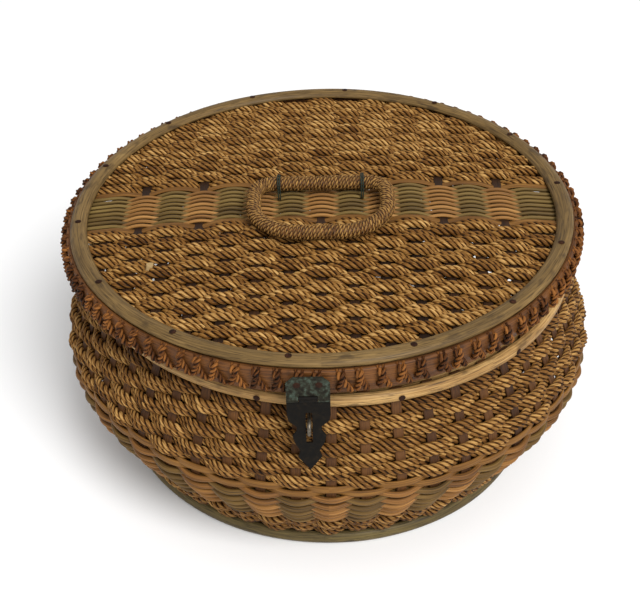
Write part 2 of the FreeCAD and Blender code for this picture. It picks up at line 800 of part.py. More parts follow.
def make_hasp_leaf():
    """The upper leaf of the hasp, with clipped top corners."""
    half = size("hasp_width") / 2
    top = size("hasp_pivot_drop") - size("hasp_leaf_top")
    clip = half / 3
    side = size("strap_knuckle") / 2 + size("knuckle_gap")
    foot = size("barrel_radius") + size("knuckle_gap")
    corners = [(-half, 0), (-side, 0), (-side, foot), (side, foot), (side, 0), (half, 0),
               (half, top - clip), (half - clip, top), (clip - half, top), (-half, top - clip)]
    spots = leaf_nail_spots(top * 2 / 3, half)
    leaf = barrelled("hasp_leaf", plate("hasp_leaf_plate", corners), size("hasp_width"),
                     [(-half, -side), (side, half)], spots, 0.0)
    return leaf, spots


def strap_outline():
    """Half outline of the spear-shaped strap: (half width, distance below the pin)."""
    half = size("hasp_width") / 2
    length = size("strap_length")
    shoulder = (half, size("barrel_radius") + size("knuckle_gap"))
    return [shoulder] + [(half * wide, length * down) for wide, down in STRAP_EDGE]


def make_hasp_strap():
    """The swinging strap with its slot, hanging a little outwards over the staple."""
    middle = size("strap_knuckle") / 2
    right = strap_outline()
    left = [(-x, z) for x, z in reversed(right)]
    tip = [(0.0, size("strap_length"))]
    down = [(middle, 0.0), (middle, right[0][1])] + right + tip + left
    down += [(-middle, left[-1][1]), (-middle, 0.0)]
    corners = [(x, -z) for x, z in down]
    blank = join("hasp_strap_solid", [plate("hasp_strap_plate", corners),
                                      knuckle("hasp_strap_barrel", -middle, middle)])
    half = size("slot_width") / 2
    slot_corners = [(half, -size("slot_top")), (half, -size("slot_bottom")),
                    (-half, -size("slot_bottom")), (-half, -size("slot_top"))]
    slot = straight_pad("hasp_slot", "XZ_Plane", slot_corners, "hasp_plate + hasp_plate")
    tools = join("hasp_strap_tools", [slot, pin_bore("hasp_strap_bore", 2 * middle)])
    return subtract("hasp_strap", blank, tools)


def make_pin(label, width):
    """A hinge pin along X."""
    pin = doc.addObject("Part::Cylinder", label)
    bind(pin, Radius="pin_radius")
    pin.Height = width
    pin.Label = label
    return pin


def pin_place(frame, width):
    return frame.multiply(Placement(Vector(-width / 2, 0, 0),
                                    Rotation(Vector(0, 0, 1), Vector(1, 0, 0))))


def nail_group(label, frame, spots, face, outward):
    """Short nails through a leaf; face is how far along Y its outer side lies."""
    seed = nail(label + "_seed", "hasp_plate - leaf_rest_gap")
    turn = Rotation(Vector(1, 0, 0), Vector(0, outward, 0))
    places = [frame.multiply(Placement(Vector(x, face, z), turn)) for x, z in spots]
    return group(label, seed, places)


def make_staple():
    """A wire staple through the rim hoop and the cords, legs one above the other."""
    middle_drop = size("hasp_pivot_drop") + (size("slot_top") + size("slot_bottom")) / 2
    across = lid_frame().multVec(Vector(-size("hasp_centre"), 0, -middle_drop)).x
    bend_y = size("staple_reach") - size("staple_arc")
    bend = doc.addObject("Part::Torus", "staple_bend")
    bind(bend, Radius1="staple_arc", Radius2="staple_wire_radius")
    bend.Angle3 = FULL_TURN / 2
    middle = size("staple_low_leg") + size("staple_arc")
    bend.Placement = Placement(Vector(across, -bend_y, middle),
                               Rotation(Vector(0, 0, 1), Vector(0, -1, 0),
                                        Vector(1, 0, 0), "YZX"))
    legs = []
    drills = []
    inner_end = size("staple_reach") - size("staple_depth")
    for name, height in (("low", size("staple_low_leg")),
                         ("high", size("staple_low_leg") + size("staple_spread"))):
        leg = doc.addObject("Part::Cylinder", "staple_leg_" + name)
        bind(leg, Radius="staple_wire_radius")
        leg.Height = bend_y - inner_end
        leg.Placement = Placement(Vector(across, -inner_end, height),
                                  Rotation(Vector(0, 0, 1), Vector(0, -1, 0)))
        legs.append(leg)
        drill = doc.addObject("Part::Cylinder", "staple_drill_" + name)
        drill.setExpression("Radius", "sizes.staple_wire_radius + sizes.staple_hole_gap")
        drill.Height = leg.Height
        drill.Placement = leg.Placement
        drills.append(drill)
    return join("hasp_staple", [bend] + legs), drills


def hinge_frame():
    """The pin of the back hinge."""
    return Placement(Vector(0, size("hinge_pin_back"), size("hinge_pin_height")), Rotation())


def hinge_profile(name, corners):
    """A cranked plate of the back hinge: its side view, drawn across the pin."""
    return straight_pad(name, "YZ_Plane", corners, "hinge_width")


def notch(name, left, right, low, high):
    """A block that clears a leaf where the other leaf's barrel turns."""
    block = doc.addObject("Part::Box", name)
    block.Length = right - left
    block.Width = BIG
    block.Height = high - low
    block.Placement = Placement(Vector(left, -BIG / 2, low), Rotation())
    return block


def make_hinge():
    """A butt hinge: one leaf on the seat hoop, the other on the rim hoop."""
    half = size("hinge_width") / 2
    inner = size("hinge_knuckle") / 2
    gap = size("knuckle_gap")
    thick = size("hasp_plate")
    foot = size("barrel_radius") + gap
    rise = size("hinge_leaf_rise")
    drop = -size("hinge_leaf_drop")
    seat = size("seat_hoop_radius") - size("hinge_pin_back") + size("leaf_rest_gap")
    hoop_face = total("rim_wall_radius + layer_gap + hoop_depth + leaf_rest_gap")
    wall = hoop_face - size("hinge_pin_back")
    plate_lid = hinge_profile("lid_leaf_plate", [
        (seat, 0), (seat, rise), (seat + thick, rise), (seat + thick, 0)])
    clear = join("lid_leaf_notches", [
        notch("lid_leaf_notch_left", -half - MARGIN, -inner, -foot, foot),
        notch("lid_leaf_notch_right", inner, half + MARGIN, -foot, foot)])
    plate_lid = subtract("lid_leaf_notched", plate_lid, clear)
    lid_spots = leaf_nail_spots((foot + rise) / 2, half)
    lid_leaf = barrelled("rear_hinge_lid_leaf", plate_lid, size("hinge_width"),
                         [(-inner, inner)], lid_spots, seat + thick / 2)
    crank = -foot
    plate_body = hinge_profile("body_leaf_plate", [
        (wall, drop), (wall + thick, drop), (wall + thick, crank - thick),
        (-thick, -thick), (-thick, 0), (-2 * thick + gap, 0), (wall, crank + thick / 2)])
    clear = notch("body_leaf_notch", -inner - gap, inner + gap, -foot, foot)
    plate_body = subtract("body_leaf_notched", plate_body, clear)
    body_spots = leaf_nail_spots(drop * 2 / 3, half)
    body_leaf = barrelled("rear_hinge_body_leaf", plate_body, size("hinge_width"),
                          [(-half, -inner - gap), (inner + gap, half)], body_spots,
                          wall + thick / 2)
    return lid_leaf, body_leaf, lid_spots, body_spots, seat + thick, wall + thick


# ------------------------------------------------------------------- assembly

def build():
    """Make every sub-part, seat the lid's pieces in the lid's frame, return all."""
    lid = lid_frame()
    kept = [make_stakes()]
    kept += make_foot()

    bands = make_weave()
    cords = bands.pop("upper_cord_layer")
    kept += list(bands.values())
    hoop, inner, nails, drills = make_rim()
    staple, staple_drills = make_staple()
    kept.append(subtract("upper_cord_weave", cords, join("cord_drills", staple_drills)))
    hoop_tools = join("rim_tools", [drills] + staple_drills)
    kept.append(subtract("rim_hoop", hoop, hoop_tools))
    kept += [inner, nails, staple]

    top_hoop, seat, band = make_lid_hoops()
    lid_hoop, lid_nails = make_lid_nails(top_hoop)
    leaf, leaf_spots = make_hasp_leaf()
    hasp_pin = make_pin("hasp_pin", size("hasp_width"))
    on_lid = [make_lid_ribs(), lid_hoop, lid_nails, make_lashing(), make_ties(), seat, band]
    on_lid += make_lid_reeds() + [make_lid_flats()] + make_lid_cords()
    for item in on_lid:
        item.Placement = lid
    kept += on_lid

    hasp = lid.multiply(hasp_frame())
    leaf.Placement = hasp
    hasp_pin.Placement = pin_place(hasp, size("hasp_width"))
    leaf_nails = nail_group("hasp_leaf_nails", hasp, leaf_spots,
                            -size("hasp_plate") / 2, -1)
    strap = make_hasp_strap()
    strap.Placement = hasp.multiply(
        Placement(Vector(), Rotation(Vector(1, 0, 0), -size("strap_tilt"))))
    kept += [leaf, hasp_pin, leaf_nails, strap]

    grip = lid.multiply(Placement(Vector(0, size("grip_back"), size("grip_height")),
                                  Rotation(Vector(1, 0, 0), size("grip_tilt"))))
    core, wrap = make_grip()
    core.Placement = grip
    wrap.Placement = grip
    kept += [core, wrap]

    hinge = hinge_frame()
    lid_leaf, body_leaf, lid_spots, body_spots, lid_face, body_face = make_hinge()
    lid_leaf.Placement = hinge
    body_leaf.Placement = hinge
    hinge_pin = make_pin("rear_hinge_pin", size("hinge_width"))
    hinge_pin.Placement = pin_place(hinge, size("hinge_width"))
    kept += [lid_leaf, body_leaf, hinge_pin,
             nail_group("rear_hinge_lid_nails", hinge, lid_spots, lid_face, 1),
             nail_group("rear_hinge_body_nails", hinge, body_spots, body_face, 1)]
    doc.recompute()
    return kept


def check(kept):
    """Stop if any object failed or any sub-part is empty or invalid."""
    for item in doc.Objects:
        if "Invalid" in item.State or "Error" in item.State:
            raise RuntimeError("failed object: " + item.Label)
    for item in kept:
        if item.Shape.isNull() or not item.Shape.isValid() or not item.Shape.Solids:
            raise RuntimeError("bad shape: " + item.Label)


parts = build()
check(parts)
os.makedirs("parts", exist_ok=True)
for part in parts:
    part.Shape.exportStep("parts/%s.step" % part.Label)
    print("%-24s %3d solids  volume %.1f" % (part.Label, len(part.Shape.Solids),
                                             part.Shape.Volume))
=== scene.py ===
import json
import math

import bpy
import numpy as np
from bpy.props import FloatProperty, IntProperty, PointerProperty
from mathutils import Matrix, Vector
from mathutils.bvhtree import BVHTree


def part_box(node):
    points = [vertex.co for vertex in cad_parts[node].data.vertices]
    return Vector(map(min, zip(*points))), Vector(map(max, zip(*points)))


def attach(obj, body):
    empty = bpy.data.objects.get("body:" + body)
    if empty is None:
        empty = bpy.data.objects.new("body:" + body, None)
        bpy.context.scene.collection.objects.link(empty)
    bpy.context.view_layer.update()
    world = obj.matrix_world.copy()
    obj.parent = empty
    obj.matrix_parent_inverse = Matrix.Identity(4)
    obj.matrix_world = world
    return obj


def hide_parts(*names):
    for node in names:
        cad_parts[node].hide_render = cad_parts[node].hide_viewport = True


bl_info = {
    "name": "Wicker Basket",
    "version": (1, 0, 0),
    "blender": (4, 5, 0),
    "location": "View3D > Sidebar > Basket",
    "description": "Weaves a round lidded basket over its CAD frame",
    "category": "Add Mesh",
}

MM = 0.001
SEED = 7
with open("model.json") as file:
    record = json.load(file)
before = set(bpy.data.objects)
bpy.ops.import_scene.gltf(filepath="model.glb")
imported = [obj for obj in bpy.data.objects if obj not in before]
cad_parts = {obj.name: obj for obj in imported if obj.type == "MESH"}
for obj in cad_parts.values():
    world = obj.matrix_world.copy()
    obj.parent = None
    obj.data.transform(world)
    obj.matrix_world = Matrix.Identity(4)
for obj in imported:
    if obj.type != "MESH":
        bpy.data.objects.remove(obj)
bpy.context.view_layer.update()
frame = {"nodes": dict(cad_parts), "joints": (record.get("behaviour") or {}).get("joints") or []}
chance = np.random.default_rng(SEED)


# ----------------------------------------------------------------- settings

def length(name, description, millimetres):
    """A length setting in metres, given in millimetres."""
    return FloatProperty(name=name, description=description, default=millimetres * MM,
                         min=0.0, precision=5, subtype="DISTANCE", unit="LENGTH")


def whole(name, description, number):
    """A counted setting."""
    return IntProperty(name=name, description=description, default=number, min=1)


def factor(name, description, number):
    """A plain number setting."""
    return FloatProperty(name=name, description=description, default=number, min=0.0)


class CordSettings(bpy.types.PropertyGroup):
    """The seagrass cord of the wall and the lid"""
    diameter: length("Diameter", "Thickness of the cord before it is pressed", 3.8)
    lay: length("Lay", "Run of cord in which its plies turn once", 13.0)
    plies: whole("Plies", "Plies twisted into the cord", 3)
    pinch: length("Pinch", "How far a pair closes up behind a stake", 0.6)
    step: length("Step", "Distance between cross-sections", 1.35)


class WallSettings(bpy.types.PropertyGroup):
    """The side wall"""
    stake_count: whole("Stakes", "Upright stakes round the wall", 52)
    stake_phase: FloatProperty(name="Phase", description="Turn of the first stake",
                               default=math.radians(0.4), subtype="ANGLE")
    stake_width: length("Stake Width", "Width of a stake", 6.2)
    stake_thickness: length("Stake Thickness", "Thickness of a stake", 1.7)
    layer_depth: length("Layer Depth", "Depth of the weave outside the stakes", 4.2)
    cord_fullness: factor("Cord Fullness", "Cord thickness in use over its own", 1.3)
    border_fullness: factor("Border Fullness", "Cord thickness in use at the foot", 1.42)
    cord_rows: whole("Cord Rows", "Rows of paired cord above the belly", 7)
    border_rows: whole("Border Rows", "Rows of paired cord at the foot", 4)
    reed_rows: whole("Reed Rows", "Rows of round reed", 10)
    reed_diameter: length("Reed Diameter", "Thickness of the round reed", 3.85)
    flat_width: length("Flat Width", "Width of the flat reed", 4.5)
    flat_thickness: length("Flat Thickness", "Thickness of the flat reed", 1.8)
    base_pitch: length("Base Pitch", "Distance between the strips of the base", 9.0)
    base_thickness: length("Base Thickness", "Thickness of a strip of the base", 1.1)


class LidSettings(bpy.types.PropertyGroup):
    """The lid"""
    rib_count: whole("Ribs", "Ribs from front to back", 15)
    rib_width: length("Rib Width", "Width of a rib", 6.2)
    rib_thickness: length("Rib Thickness", "Thickness of a rib", 1.4)
    cord_fullness: factor("Cord Fullness", "Cord thickness in use over its own", 1.36)
    cord_pitch: length("Cord Pitch", "Distance between cords", 3.5)
    reed_count: whole("Reeds", "Round reeds in the middle band", 16)
    reed_diameter: length("Reed Diameter", "Thickness of the round reed", 2.35)
    flat_width: length("Flat Width", "Width of the flat reed", 4.4)
    flat_thickness: length("Flat Thickness", "Thickness of the flat reed", 1.5)
    flat_lift: length("Flat Lift", "How far the flat reed stands over the ribs", 1.1)
    edge_gap: length("Edge Gap", "Gap between the strands' ends and the edge", 0.5)
    hoop_tuck: length("Hoop Tuck", "How far the band tucks under the top hoop", 1.5)
    wrap_count: whole("Wraps", "Lashing wraps round the band", 90)
    wrap_diameter: length("Wrap Diameter", "Thickness of a long wrap", 3.5)
    hook_diameter: length("Hook Diameter", "Thickness of a short crossed wrap", 3.2)
    wrap_lay: length("Wrap Lay", "Run of lashing in which its plies turn once", 6.5)


class GripSettings(bpy.types.PropertyGroup):
    """The grip and its ties"""
    winding_pitch: length("Winding Pitch", "Distance between turns of winding", 2.3)
    winding_diameter: length("Winding Diameter", "Thickness of the winding", 2.1)
    winding_lay: length("Winding Lay", "Run in which its plies turn once", 5.2)
    tie_diameter: length("Tie Diameter", "Thickness of a tie cord", 1.0)


class StageSettings(bpy.types.PropertyGroup):
    """The light and the lens"""
    key_power: FloatProperty(name="Key Power", description="Power of the main lamp",
                             default=110.0, min=0.0, unit="POWER")
    key_width: FloatProperty(name="Key Width", description="Width of the main lamp",
                             default=1.6, min=0.0, subtype="DISTANCE", unit="LENGTH")
    sky: factor("Sky", "Strength of the light from all round", 0.7)
    lens: FloatProperty(name="Lens", description="Focal length", default=67.8, min=1.0,
                        subtype="DISTANCE_CAMERA")


GROUPS = {"basket_cord": CordSettings, "basket_wall": WallSettings,
          "basket_lid": LidSettings, "basket_grip": GripSettings,
          "basket_stage": StageSettings}


def cord():
    return bpy.context.scene.basket_cord


def wall():
    return bpy.context.scene.basket_wall


def lid():
    return bpy.context.scene.basket_lid


def grip():
    return bpy.context.scene.basket_grip


def stage():
    return bpy.context.scene.basket_stage


# ---------------------------------------------------------------- the frame

def joint(name):
    """A joint of the record by name."""
    return [item for item in frame["joints"] if item["name"] == name][0]


def node_points(node):
    """A CAD node's vertices as an array."""
    mesh = frame["nodes"][node].data
    points = np.empty(len(mesh.vertices) * 3)
    mesh.vertices.foreach_get("co", points)
    return points.reshape(-1, 3)


def lid_matrix():
    """The lid's own frame: its lean is the grip's axis, its height the hoop's underside."""
    axis = Vector(joint("grip_hinge")["axis"])
    across = -axis.normalized()
    up = across.cross(Vector((0, 1, 0))).normalized()
    turn = Matrix((across, (0, 1, 0), up)).transposed()
    points = node_points("lid_hoop")
    local = points @ np.array(turn)
    middle = (local.min(axis=0) + local.max(axis=0)) / 2
    origin = turn @ Vector((middle[0], middle[1], local[:, 2].min()))
    return Matrix.Translation(origin) @ turn.to_4x4()


LID = lid_matrix()


def lid_points(node):
    """A CAD node's vertices in the lid's frame."""
    inverse = np.array(LID.inverted())
    return node_points(node) @ inverse[:3, :3].T + inverse[:3, 3]


def radii(points):
    return np.hypot(points[:, 0], points[:, 1])


class Dome:
    """The sphere that the top of the lid's weave lies on."""

    def __init__(self):
        points = lid_points("lid_cords_front")
        reach = radii(points)
        top = points[:, 2].argmax()
        self.edge = reach.max()
        rim_height = points[reach > self.edge - 0.05 * MM][:, 2].max()
        crown = points[top, 2]
        near = reach[top]
        self.centre = (near ** 2 - self.edge ** 2 + crown ** 2 - rim_height ** 2) / (
            2 * (crown - rim_height))
        self.radius = math.hypot(near, crown - self.centre)

    def height(self, x, y, drop):
        """Height of a shell that lies a drop under the dome's top."""
        return self.centre + np.sqrt((self.radius - drop) ** 2 - x ** 2 - y ** 2)


DOME = Dome()


class Wall:
    """Radius of the wall's outer face against height, felt out on the CAD layers."""

    def __init__(self, nodes, step=0.5 * MM):
        trees = [BVHTree.FromObject(frame["nodes"][name],
                                    bpy.context.evaluated_depsgraph_get())
                 for name in nodes]
        low = min(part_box(name)[0][2] for name in nodes)
        high = max(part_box(name)[1][2] for name in nodes)
        self.heights = np.arange(low + step, high - step, step)
        side = Vector((math.cos(0.3), math.sin(0.3), 0))
        found = []
        for height in self.heights:
            start = side + Vector((0, 0, height))
            hits = [tree.ray_cast(start, -side) for tree in trees]
            reach = [math.hypot(hit[0].x, hit[0].y) for hit in hits if hit[0]]
            found.append(max(reach) if reach else float("nan"))
        found = np.array(found)
        known = ~np.isnan(found)
        self.radii = np.interp(self.heights, self.heights[known], found[known])

    def radius(self, height):
        return np.interp(height, self.heights, self.radii)

    def normal(self, height):
        """The outward normal's radial and upright parts."""
        step = 1.0 * MM
        slope = (self.radius(height + step) - self.radius(height - step)) / (2 * step)
        length = math.hypot(1.0, slope)
        return 1.0 / length, -slope / length


LAYERS = ["lower_cord_border", "reed_band", "flat_reed_lower_row", "flat_reed_upper_row",
          "upper_cord_weave"]
WALL = Wall(LAYERS)


def stake_turn(angles):
    """Phase that grows by half a turn from one stake to the next."""
    return (angles - wall().stake_phase) * wall().stake_count / 2


def rib_pitch():
    """Distance between ribs, from the spread of the CAD ribs."""
    points = lid_points("lid_ribs")
    return (np.ptp(points[:, 0]) - lid().rib_width) / (lid().rib_count - 1)


# ------------------------------------------------------------- mesh building

def unit(vectors):
    """The same directions with a length of one."""
    return vectors / np.linalg.norm(vectors, axis=1)[:, None]


def spokes(angles):
    """Level outward directions; an angle of zero points to the front."""
    return np.stack([np.sin(angles), -np.cos(angles), np.zeros(len(angles))], axis=1)


def same(direction, count):
    """One direction for every cross-section."""
    return np.repeat([direction], count, axis=0)


def ellipse(half_width, half_depth, sides, power=1.0):
    """A round or squarish section: pairs of across and outward."""
    angles = np.arange(sides) * 2 * math.pi / sides
    across = np.cos(angles)
    out = np.sin(angles)
    across = np.sign(across) * np.abs(across) ** power
    out = np.sign(out) * np.abs(out) ** power
    return np.stack([across * half_width, out * half_depth], axis=1)


def half_round(half_width, depth, sides=16):
    """A crowned section whose flat side is at zero."""
    angles = np.linspace(0, math.pi, sides)
    crown = np.stack([np.cos(angles) * half_width, np.sin(angles) * depth], axis=1)
    flat = np.stack([np.linspace(-half_width, half_width, 6)[1:-1], np.zeros(4)], axis=1)
    return np.concatenate([crown, flat])


MAP_SHIFT = 3.7


class Strands:
    """Collects swept strands, then makes one mesh of them.

    The map runs along each strand in metres; the tint is one number per strand; the
    crown is 1 on open faces and falls to 0 in the creases between twisted plies;
    the materials darken the colour there as painted shade.
    """

    def __init__(self):
        self.points = []
        self.quads = []
        self.maps = []
        self.caps = []
        self.tints = []
        self.crowns = []
        self.count = 0

    def sweep(self, centres, across, out, section, closed=False, tint=0.5, scale=None,
              crown=None):
        """Sweep a section; across, out and the way along form a right-handed set."""
        rings, sides = len(centres), len(section)
        width = across[:, None, :] * section[None, :, 0, None]
        depth = out[:, None, :] * section[None, :, 1, None]
        if scale is not None:
            width = width * scale[:, None, None]
            depth = depth * scale[:, None, None]
        points = centres[:, None, :] + width + depth
        ring = np.arange(rings if closed else rings - 1)
        step = np.arange(sides)
        here, side = np.meshgrid(ring, step, indexing="ij")
        following = (here + 1) % rings
        beside = (side + 1) % sides
        base = self.count
        quads = np.stack([here * sides + side, here * sides + beside,
                          following * sides + beside, following * sides + side], axis=-1)
        self.quads.append(quads.reshape(-1, 4) + base)
        gaps = np.linalg.norm(np.roll(centres, -1, axis=0) - centres, axis=1)
        along = np.concatenate([[0.0], np.cumsum(gaps)])
        edge = np.linalg.norm(np.roll(section, -1, axis=0) - section, axis=1)
        around = np.concatenate([[0.0], np.cumsum(edge)])
        start = tint * MAP_SHIFT
        corner = np.stack([
            np.stack([along[here] + start, around[side]], axis=-1),
            np.stack([along[here] + start, around[side + 1]], axis=-1),
            np.stack([along[here + 1] + start, around[side + 1]], axis=-1),
            np.stack([along[here + 1] + start, around[side]], axis=-1)], axis=2)
        self.maps.append(corner.reshape(-1, 2))
        self.tints.append(np.full(rings * sides, tint))
        self.crowns.append(np.ones(rings * sides) if crown is None else crown.ravel())
        self.points.append(points.reshape(-1, 3))
        if not closed:
            self.caps.append([base + k for k in range(sides)][::-1])
            self.caps.append([base + (rings - 1) * sides + k for k in range(sides)])
        self.count += rings * sides

    def make(self, name, body, material, stands_for, slot=None, place=None):
        """One object of all the strands, riding on a body."""
        points = np.concatenate(self.points)
        quads = np.concatenate(self.quads)
        mesh = bpy.data.meshes.new(name)
        loops = quads.size + sum(len(cap) for cap in self.caps)
        mesh.vertices.add(len(points))
        mesh.vertices.foreach_set("co", points.astype(np.float32).ravel())
        mesh.loops.add(loops)
        corners = np.concatenate([quads.ravel()] + [np.array(cap) for cap in self.caps])
        mesh.loops.foreach_set("vertex_index", corners.astype(np.int32))
        sizes = np.array([4] * len(quads) + [len(cap) for cap in self.caps])
        mesh.polygons.add(len(sizes))
        mesh.polygons.foreach_set("loop_start",
                                  np.concatenate([[0], np.cumsum(sizes)[:-1]]).astype(np.int32))
        smooth = np.concatenate([np.ones(len(quads), bool), np.zeros(len(self.caps), bool)])
        mesh.polygons.foreach_set("use_smooth", smooth)
        layer = mesh.uv_layers.new(name="along")
        flat = np.zeros((loops, 2))
        maps = np.concatenate(self.maps)
        flat[:len(maps)] = maps
        layer.data.foreach_set("uv", flat.astype(np.float32).ravel())
        for title, values in (("tint", self.tints), ("crown", self.crowns)):
            attribute = mesh.attributes.new(title, "FLOAT", "POINT")
            attribute.data.foreach_set("value", np.concatenate(values).astype(np.float32))
        mesh.update(calc_edges=True)
        mesh.validate()
        mesh.materials.append(material)
        if place is not None:
            mesh.transform(place)
        piece = bpy.data.objects.new(name, mesh)
        bpy.context.scene.collection.objects.link(piece)
        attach(piece, body)
        if stands_for:
            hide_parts(*stands_for)
        return piece


PLY_OFFSET = 0.24
PLY_RADIUS = 0.29
TWO_PLY_RADIUS = 0.33
PLY_TINT = 0.06


def twist(strands, centres, across, out, diameter, lay, closed, tint, plies=2, turn=0.0):
    """Twist plies round a route; they lean down to the right seen from outside.

    The crease is where neighbouring plies meet, measured from the cord's middle.
    """
    gaps = np.linalg.norm(np.diff(centres, axis=0), axis=1)
    along = np.concatenate([[0.0], np.cumsum(gaps)])
    if closed:
        whole = along[-1] + np.linalg.norm(centres[0] - centres[-1])
        lay = whole / round(whole / lay)
    offset = diameter * PLY_OFFSET
    thick = diameter * (TWO_PLY_RADIUS if plies == 2 else PLY_RADIUS)
    section = ellipse(thick, thick, 7)
    half_gap = offset * math.sin(math.pi / plies)
    crease = offset * math.cos(math.pi / plies) + math.sqrt(thick ** 2 - half_gap ** 2)
    for ply in range(plies):
        angle = -2 * math.pi * (along / lay - ply / plies) + turn
        shift = np.cos(angle)[:, None] * out + np.sin(angle)[:, None] * across
        reach = np.hypot(np.sin(angle)[:, None] * offset + section[:, 0],
                         np.cos(angle)[:, None] * offset + section[:, 1])
        # The crown marks the creases between plies, where the materials paint shade.
        crown = np.clip((reach - crease) / (offset + thick - crease), 0, 1)
        strands.sweep(centres + shift * offset, across, out, section, closed,
                      tint + PLY_TINT * ply, crown=crown)


# ----------------------------------------------------------------- materials

def srgb(text):
    """A hex colour as linear RGBA."""
    parts = [int(text[i:i + 2], 16) / 255 for i in (1, 3, 5)]
    return tuple(c / 12.92 if c <= 0.04045 else ((c + 0.055) / 1.055) ** 2.4
                 for c in parts) + (1.0,)


def add_node(tree, kind, settings=None, links=None, stops=()):
    """Add a shader node with its properties, sockets, links and colour stops."""
    node = tree.nodes.new(kind)
    for key, value in (settings or {}).items():
        if isinstance(key, str) and hasattr(node, key):
            setattr(node, key, value)
        else:
            node.inputs[key].default_value = value
    for key, source in (links or {}).items():
        tree.links.new(source, node.inputs[key])
    for index, (place, colour) in enumerate(stops):
        points = node.color_ramp.elements
        if index >= len(points):
            points.new(place)
        points[index].position = place
        points[index].color = srgb(colour)
    return node


def new_material(name):
    material = bpy.data.materials.new(name)
    material.use_nodes = True
    material.node_tree.nodes.clear()
    return material, material.node_tree


def finish_surface(tree, colour, roughness, height, depth, metallic=0.0, coat=0.0,
                   shine=0.25):
    """Bump, surface and output, shared by every material."""
    bump = add_node(tree, "ShaderNodeBump", {"Strength": 0.8, "Distance": depth},
                    {"Height": height})
    surface = add_node(tree, "ShaderNodeBsdfPrincipled",
                       {"Metallic": metallic, "IOR": 1.5, "Specular IOR Level": shine,
                        "Coat Weight": coat, "Coat Roughness": 0.35},
                       {"Base Color": colour, "Roughness": roughness,
                        "Normal": bump.outputs["Normal"]})
    add_node(tree, "ShaderNodeOutputMaterial", links={"Surface": surface.outputs["BSDF"]})


def streaks(tree, place, length, width, detail):
    """Noise drawn out along a strand to a length and a width."""
    scaled = add_node(tree, "ShaderNodeMapping", {"Scale": (1 / length, 1 / width, 1.0)},
                      {"Vector": place})
    return add_node(tree, "ShaderNodeTexNoise", {"Scale": 1.0, "Detail": detail},
                    {"Vector": scaled.outputs["Vector"]}).outputs["Fac"]


def fibre_material(name, stops, fibre=0.35 * MM, length=12 * MM, patch=45 * MM,
                   rough=(0.5, 0.8), depth=0.25 * MM, coat=0.0, crease=0.0, lift=0.0,
                   shine=0.25):
    """A strand with fine fibres along it, slow patches of colour and a tint each.

    The crease says how far its colour is darkened between twisted plies: painted shade in the
    creases, where the crown attribute falls to 0.
    """
    material, tree = new_material(name)
    place = add_node(tree, "ShaderNodeUVMap", {"uv_map": "along"}).outputs["UV"]
    fibres = streaks(tree, place, length, fibre, 3.0)
    patches = streaks(tree, place, patch, 8 * MM, 2.0)
    tint = add_node(tree, "ShaderNodeAttribute", {"attribute_name": "tint"}).outputs["Fac"]
    half = add_node(tree, "ShaderNodeMath", {"operation": "MULTIPLY_ADD", 1: 0.85, 2: -0.1},
                    {0: fibres}).outputs[0]
    both = add_node(tree, "ShaderNodeMath", {"operation": "MULTIPLY_ADD", 1: 0.35},
                    {0: patches, 2: half}).outputs[0]
    mixed = add_node(tree, "ShaderNodeMath", {"operation": "MULTIPLY_ADD", 1: 0.3},
                     {0: tint, 2: both}).outputs[0]
    crown = add_node(tree, "ShaderNodeAttribute", {"attribute_name": "crown"}).outputs["Fac"]
    # Painted shade: the colour falls by the crease amount where the crown falls to 0, in the
    # creases between plies.
    shade = add_node(tree, "ShaderNodeMapRange",
                     {1: 0.0, 2: 0.7, 3: -0.16 + lift - crease, 4: -0.16 + lift},
                     {0: crown}).outputs[0]
    centred = add_node(tree, "ShaderNodeMath", {"operation": "ADD"},
                       {0: mixed, 1: shade}).outputs[0]
    colour = add_node(tree, "ShaderNodeValToRGB", links={"Fac": centred},
                      stops=stops).outputs["Color"]
    roughness = add_node(tree, "ShaderNodeMapRange", {3: rough[0], 4: rough[1]},
                         {0: fibres}).outputs[0]
    finish_surface(tree, colour, roughness, fibres, depth, coat=coat, shine=shine)
    return material


def wood_material(name, stops, stain):
    """Bent wood: fine grain along it, dark cracks in the grain and broad dark stains."""
    material, tree = new_material(name)
    place = add_node(tree, "ShaderNodeUVMap", {"uv_map": "along"}).outputs["UV"]
    grain = streaks(tree, place, 26 * MM, 0.8 * MM, 4.0)
    cracks = streaks(tree, place, 14 * MM, 0.55 * MM, 2.0)
    stains = streaks(tree, place, 16 * MM, 7 * MM, 3.0)
    wash = streaks(tree, place, 70 * MM, 12 * MM, 2.0)
    both = add_node(tree, "ShaderNodeMath", {"operation": "MULTIPLY_ADD", 1: 0.6},
                    {0: grain, 2: add_node(tree, "ShaderNodeMath", {
                        "operation": "MULTIPLY", 1: 0.4}, {0: wash}).outputs[0]})
    colour = add_node(tree, "ShaderNodeValToRGB", links={"Fac": both.outputs[0]},
                      stops=stops).outputs["Color"]
    open_grain = add_node(tree, "ShaderNodeMapRange", {1: 0.36, 2: 0.44, 3: 0.75, 4: 0.0},
                          {0: cracks}).outputs[0]
    dirt = add_node(tree, "ShaderNodeMapRange", {1: 0.56, 2: 0.68, 3: 0.0, 4: 0.65},
                    {0: stains}).outputs[0]
    dark = add_node(tree, "ShaderNodeMath", {"operation": "MAXIMUM"},
                    {0: open_grain, 1: dirt}).outputs[0]
    blend = add_node(tree, "ShaderNodeMix", {"data_type": "RGBA", 7: srgb(stain)},
                     {0: dark, 6: colour})
    roughness = add_node(tree, "ShaderNodeMapRange", {3: 0.5, 4: 0.75},
                         {0: grain}).outputs[0]
    finish_surface(tree, blend.outputs[2], roughness, cracks, 0.35 * MM, coat=0.08)
    return material


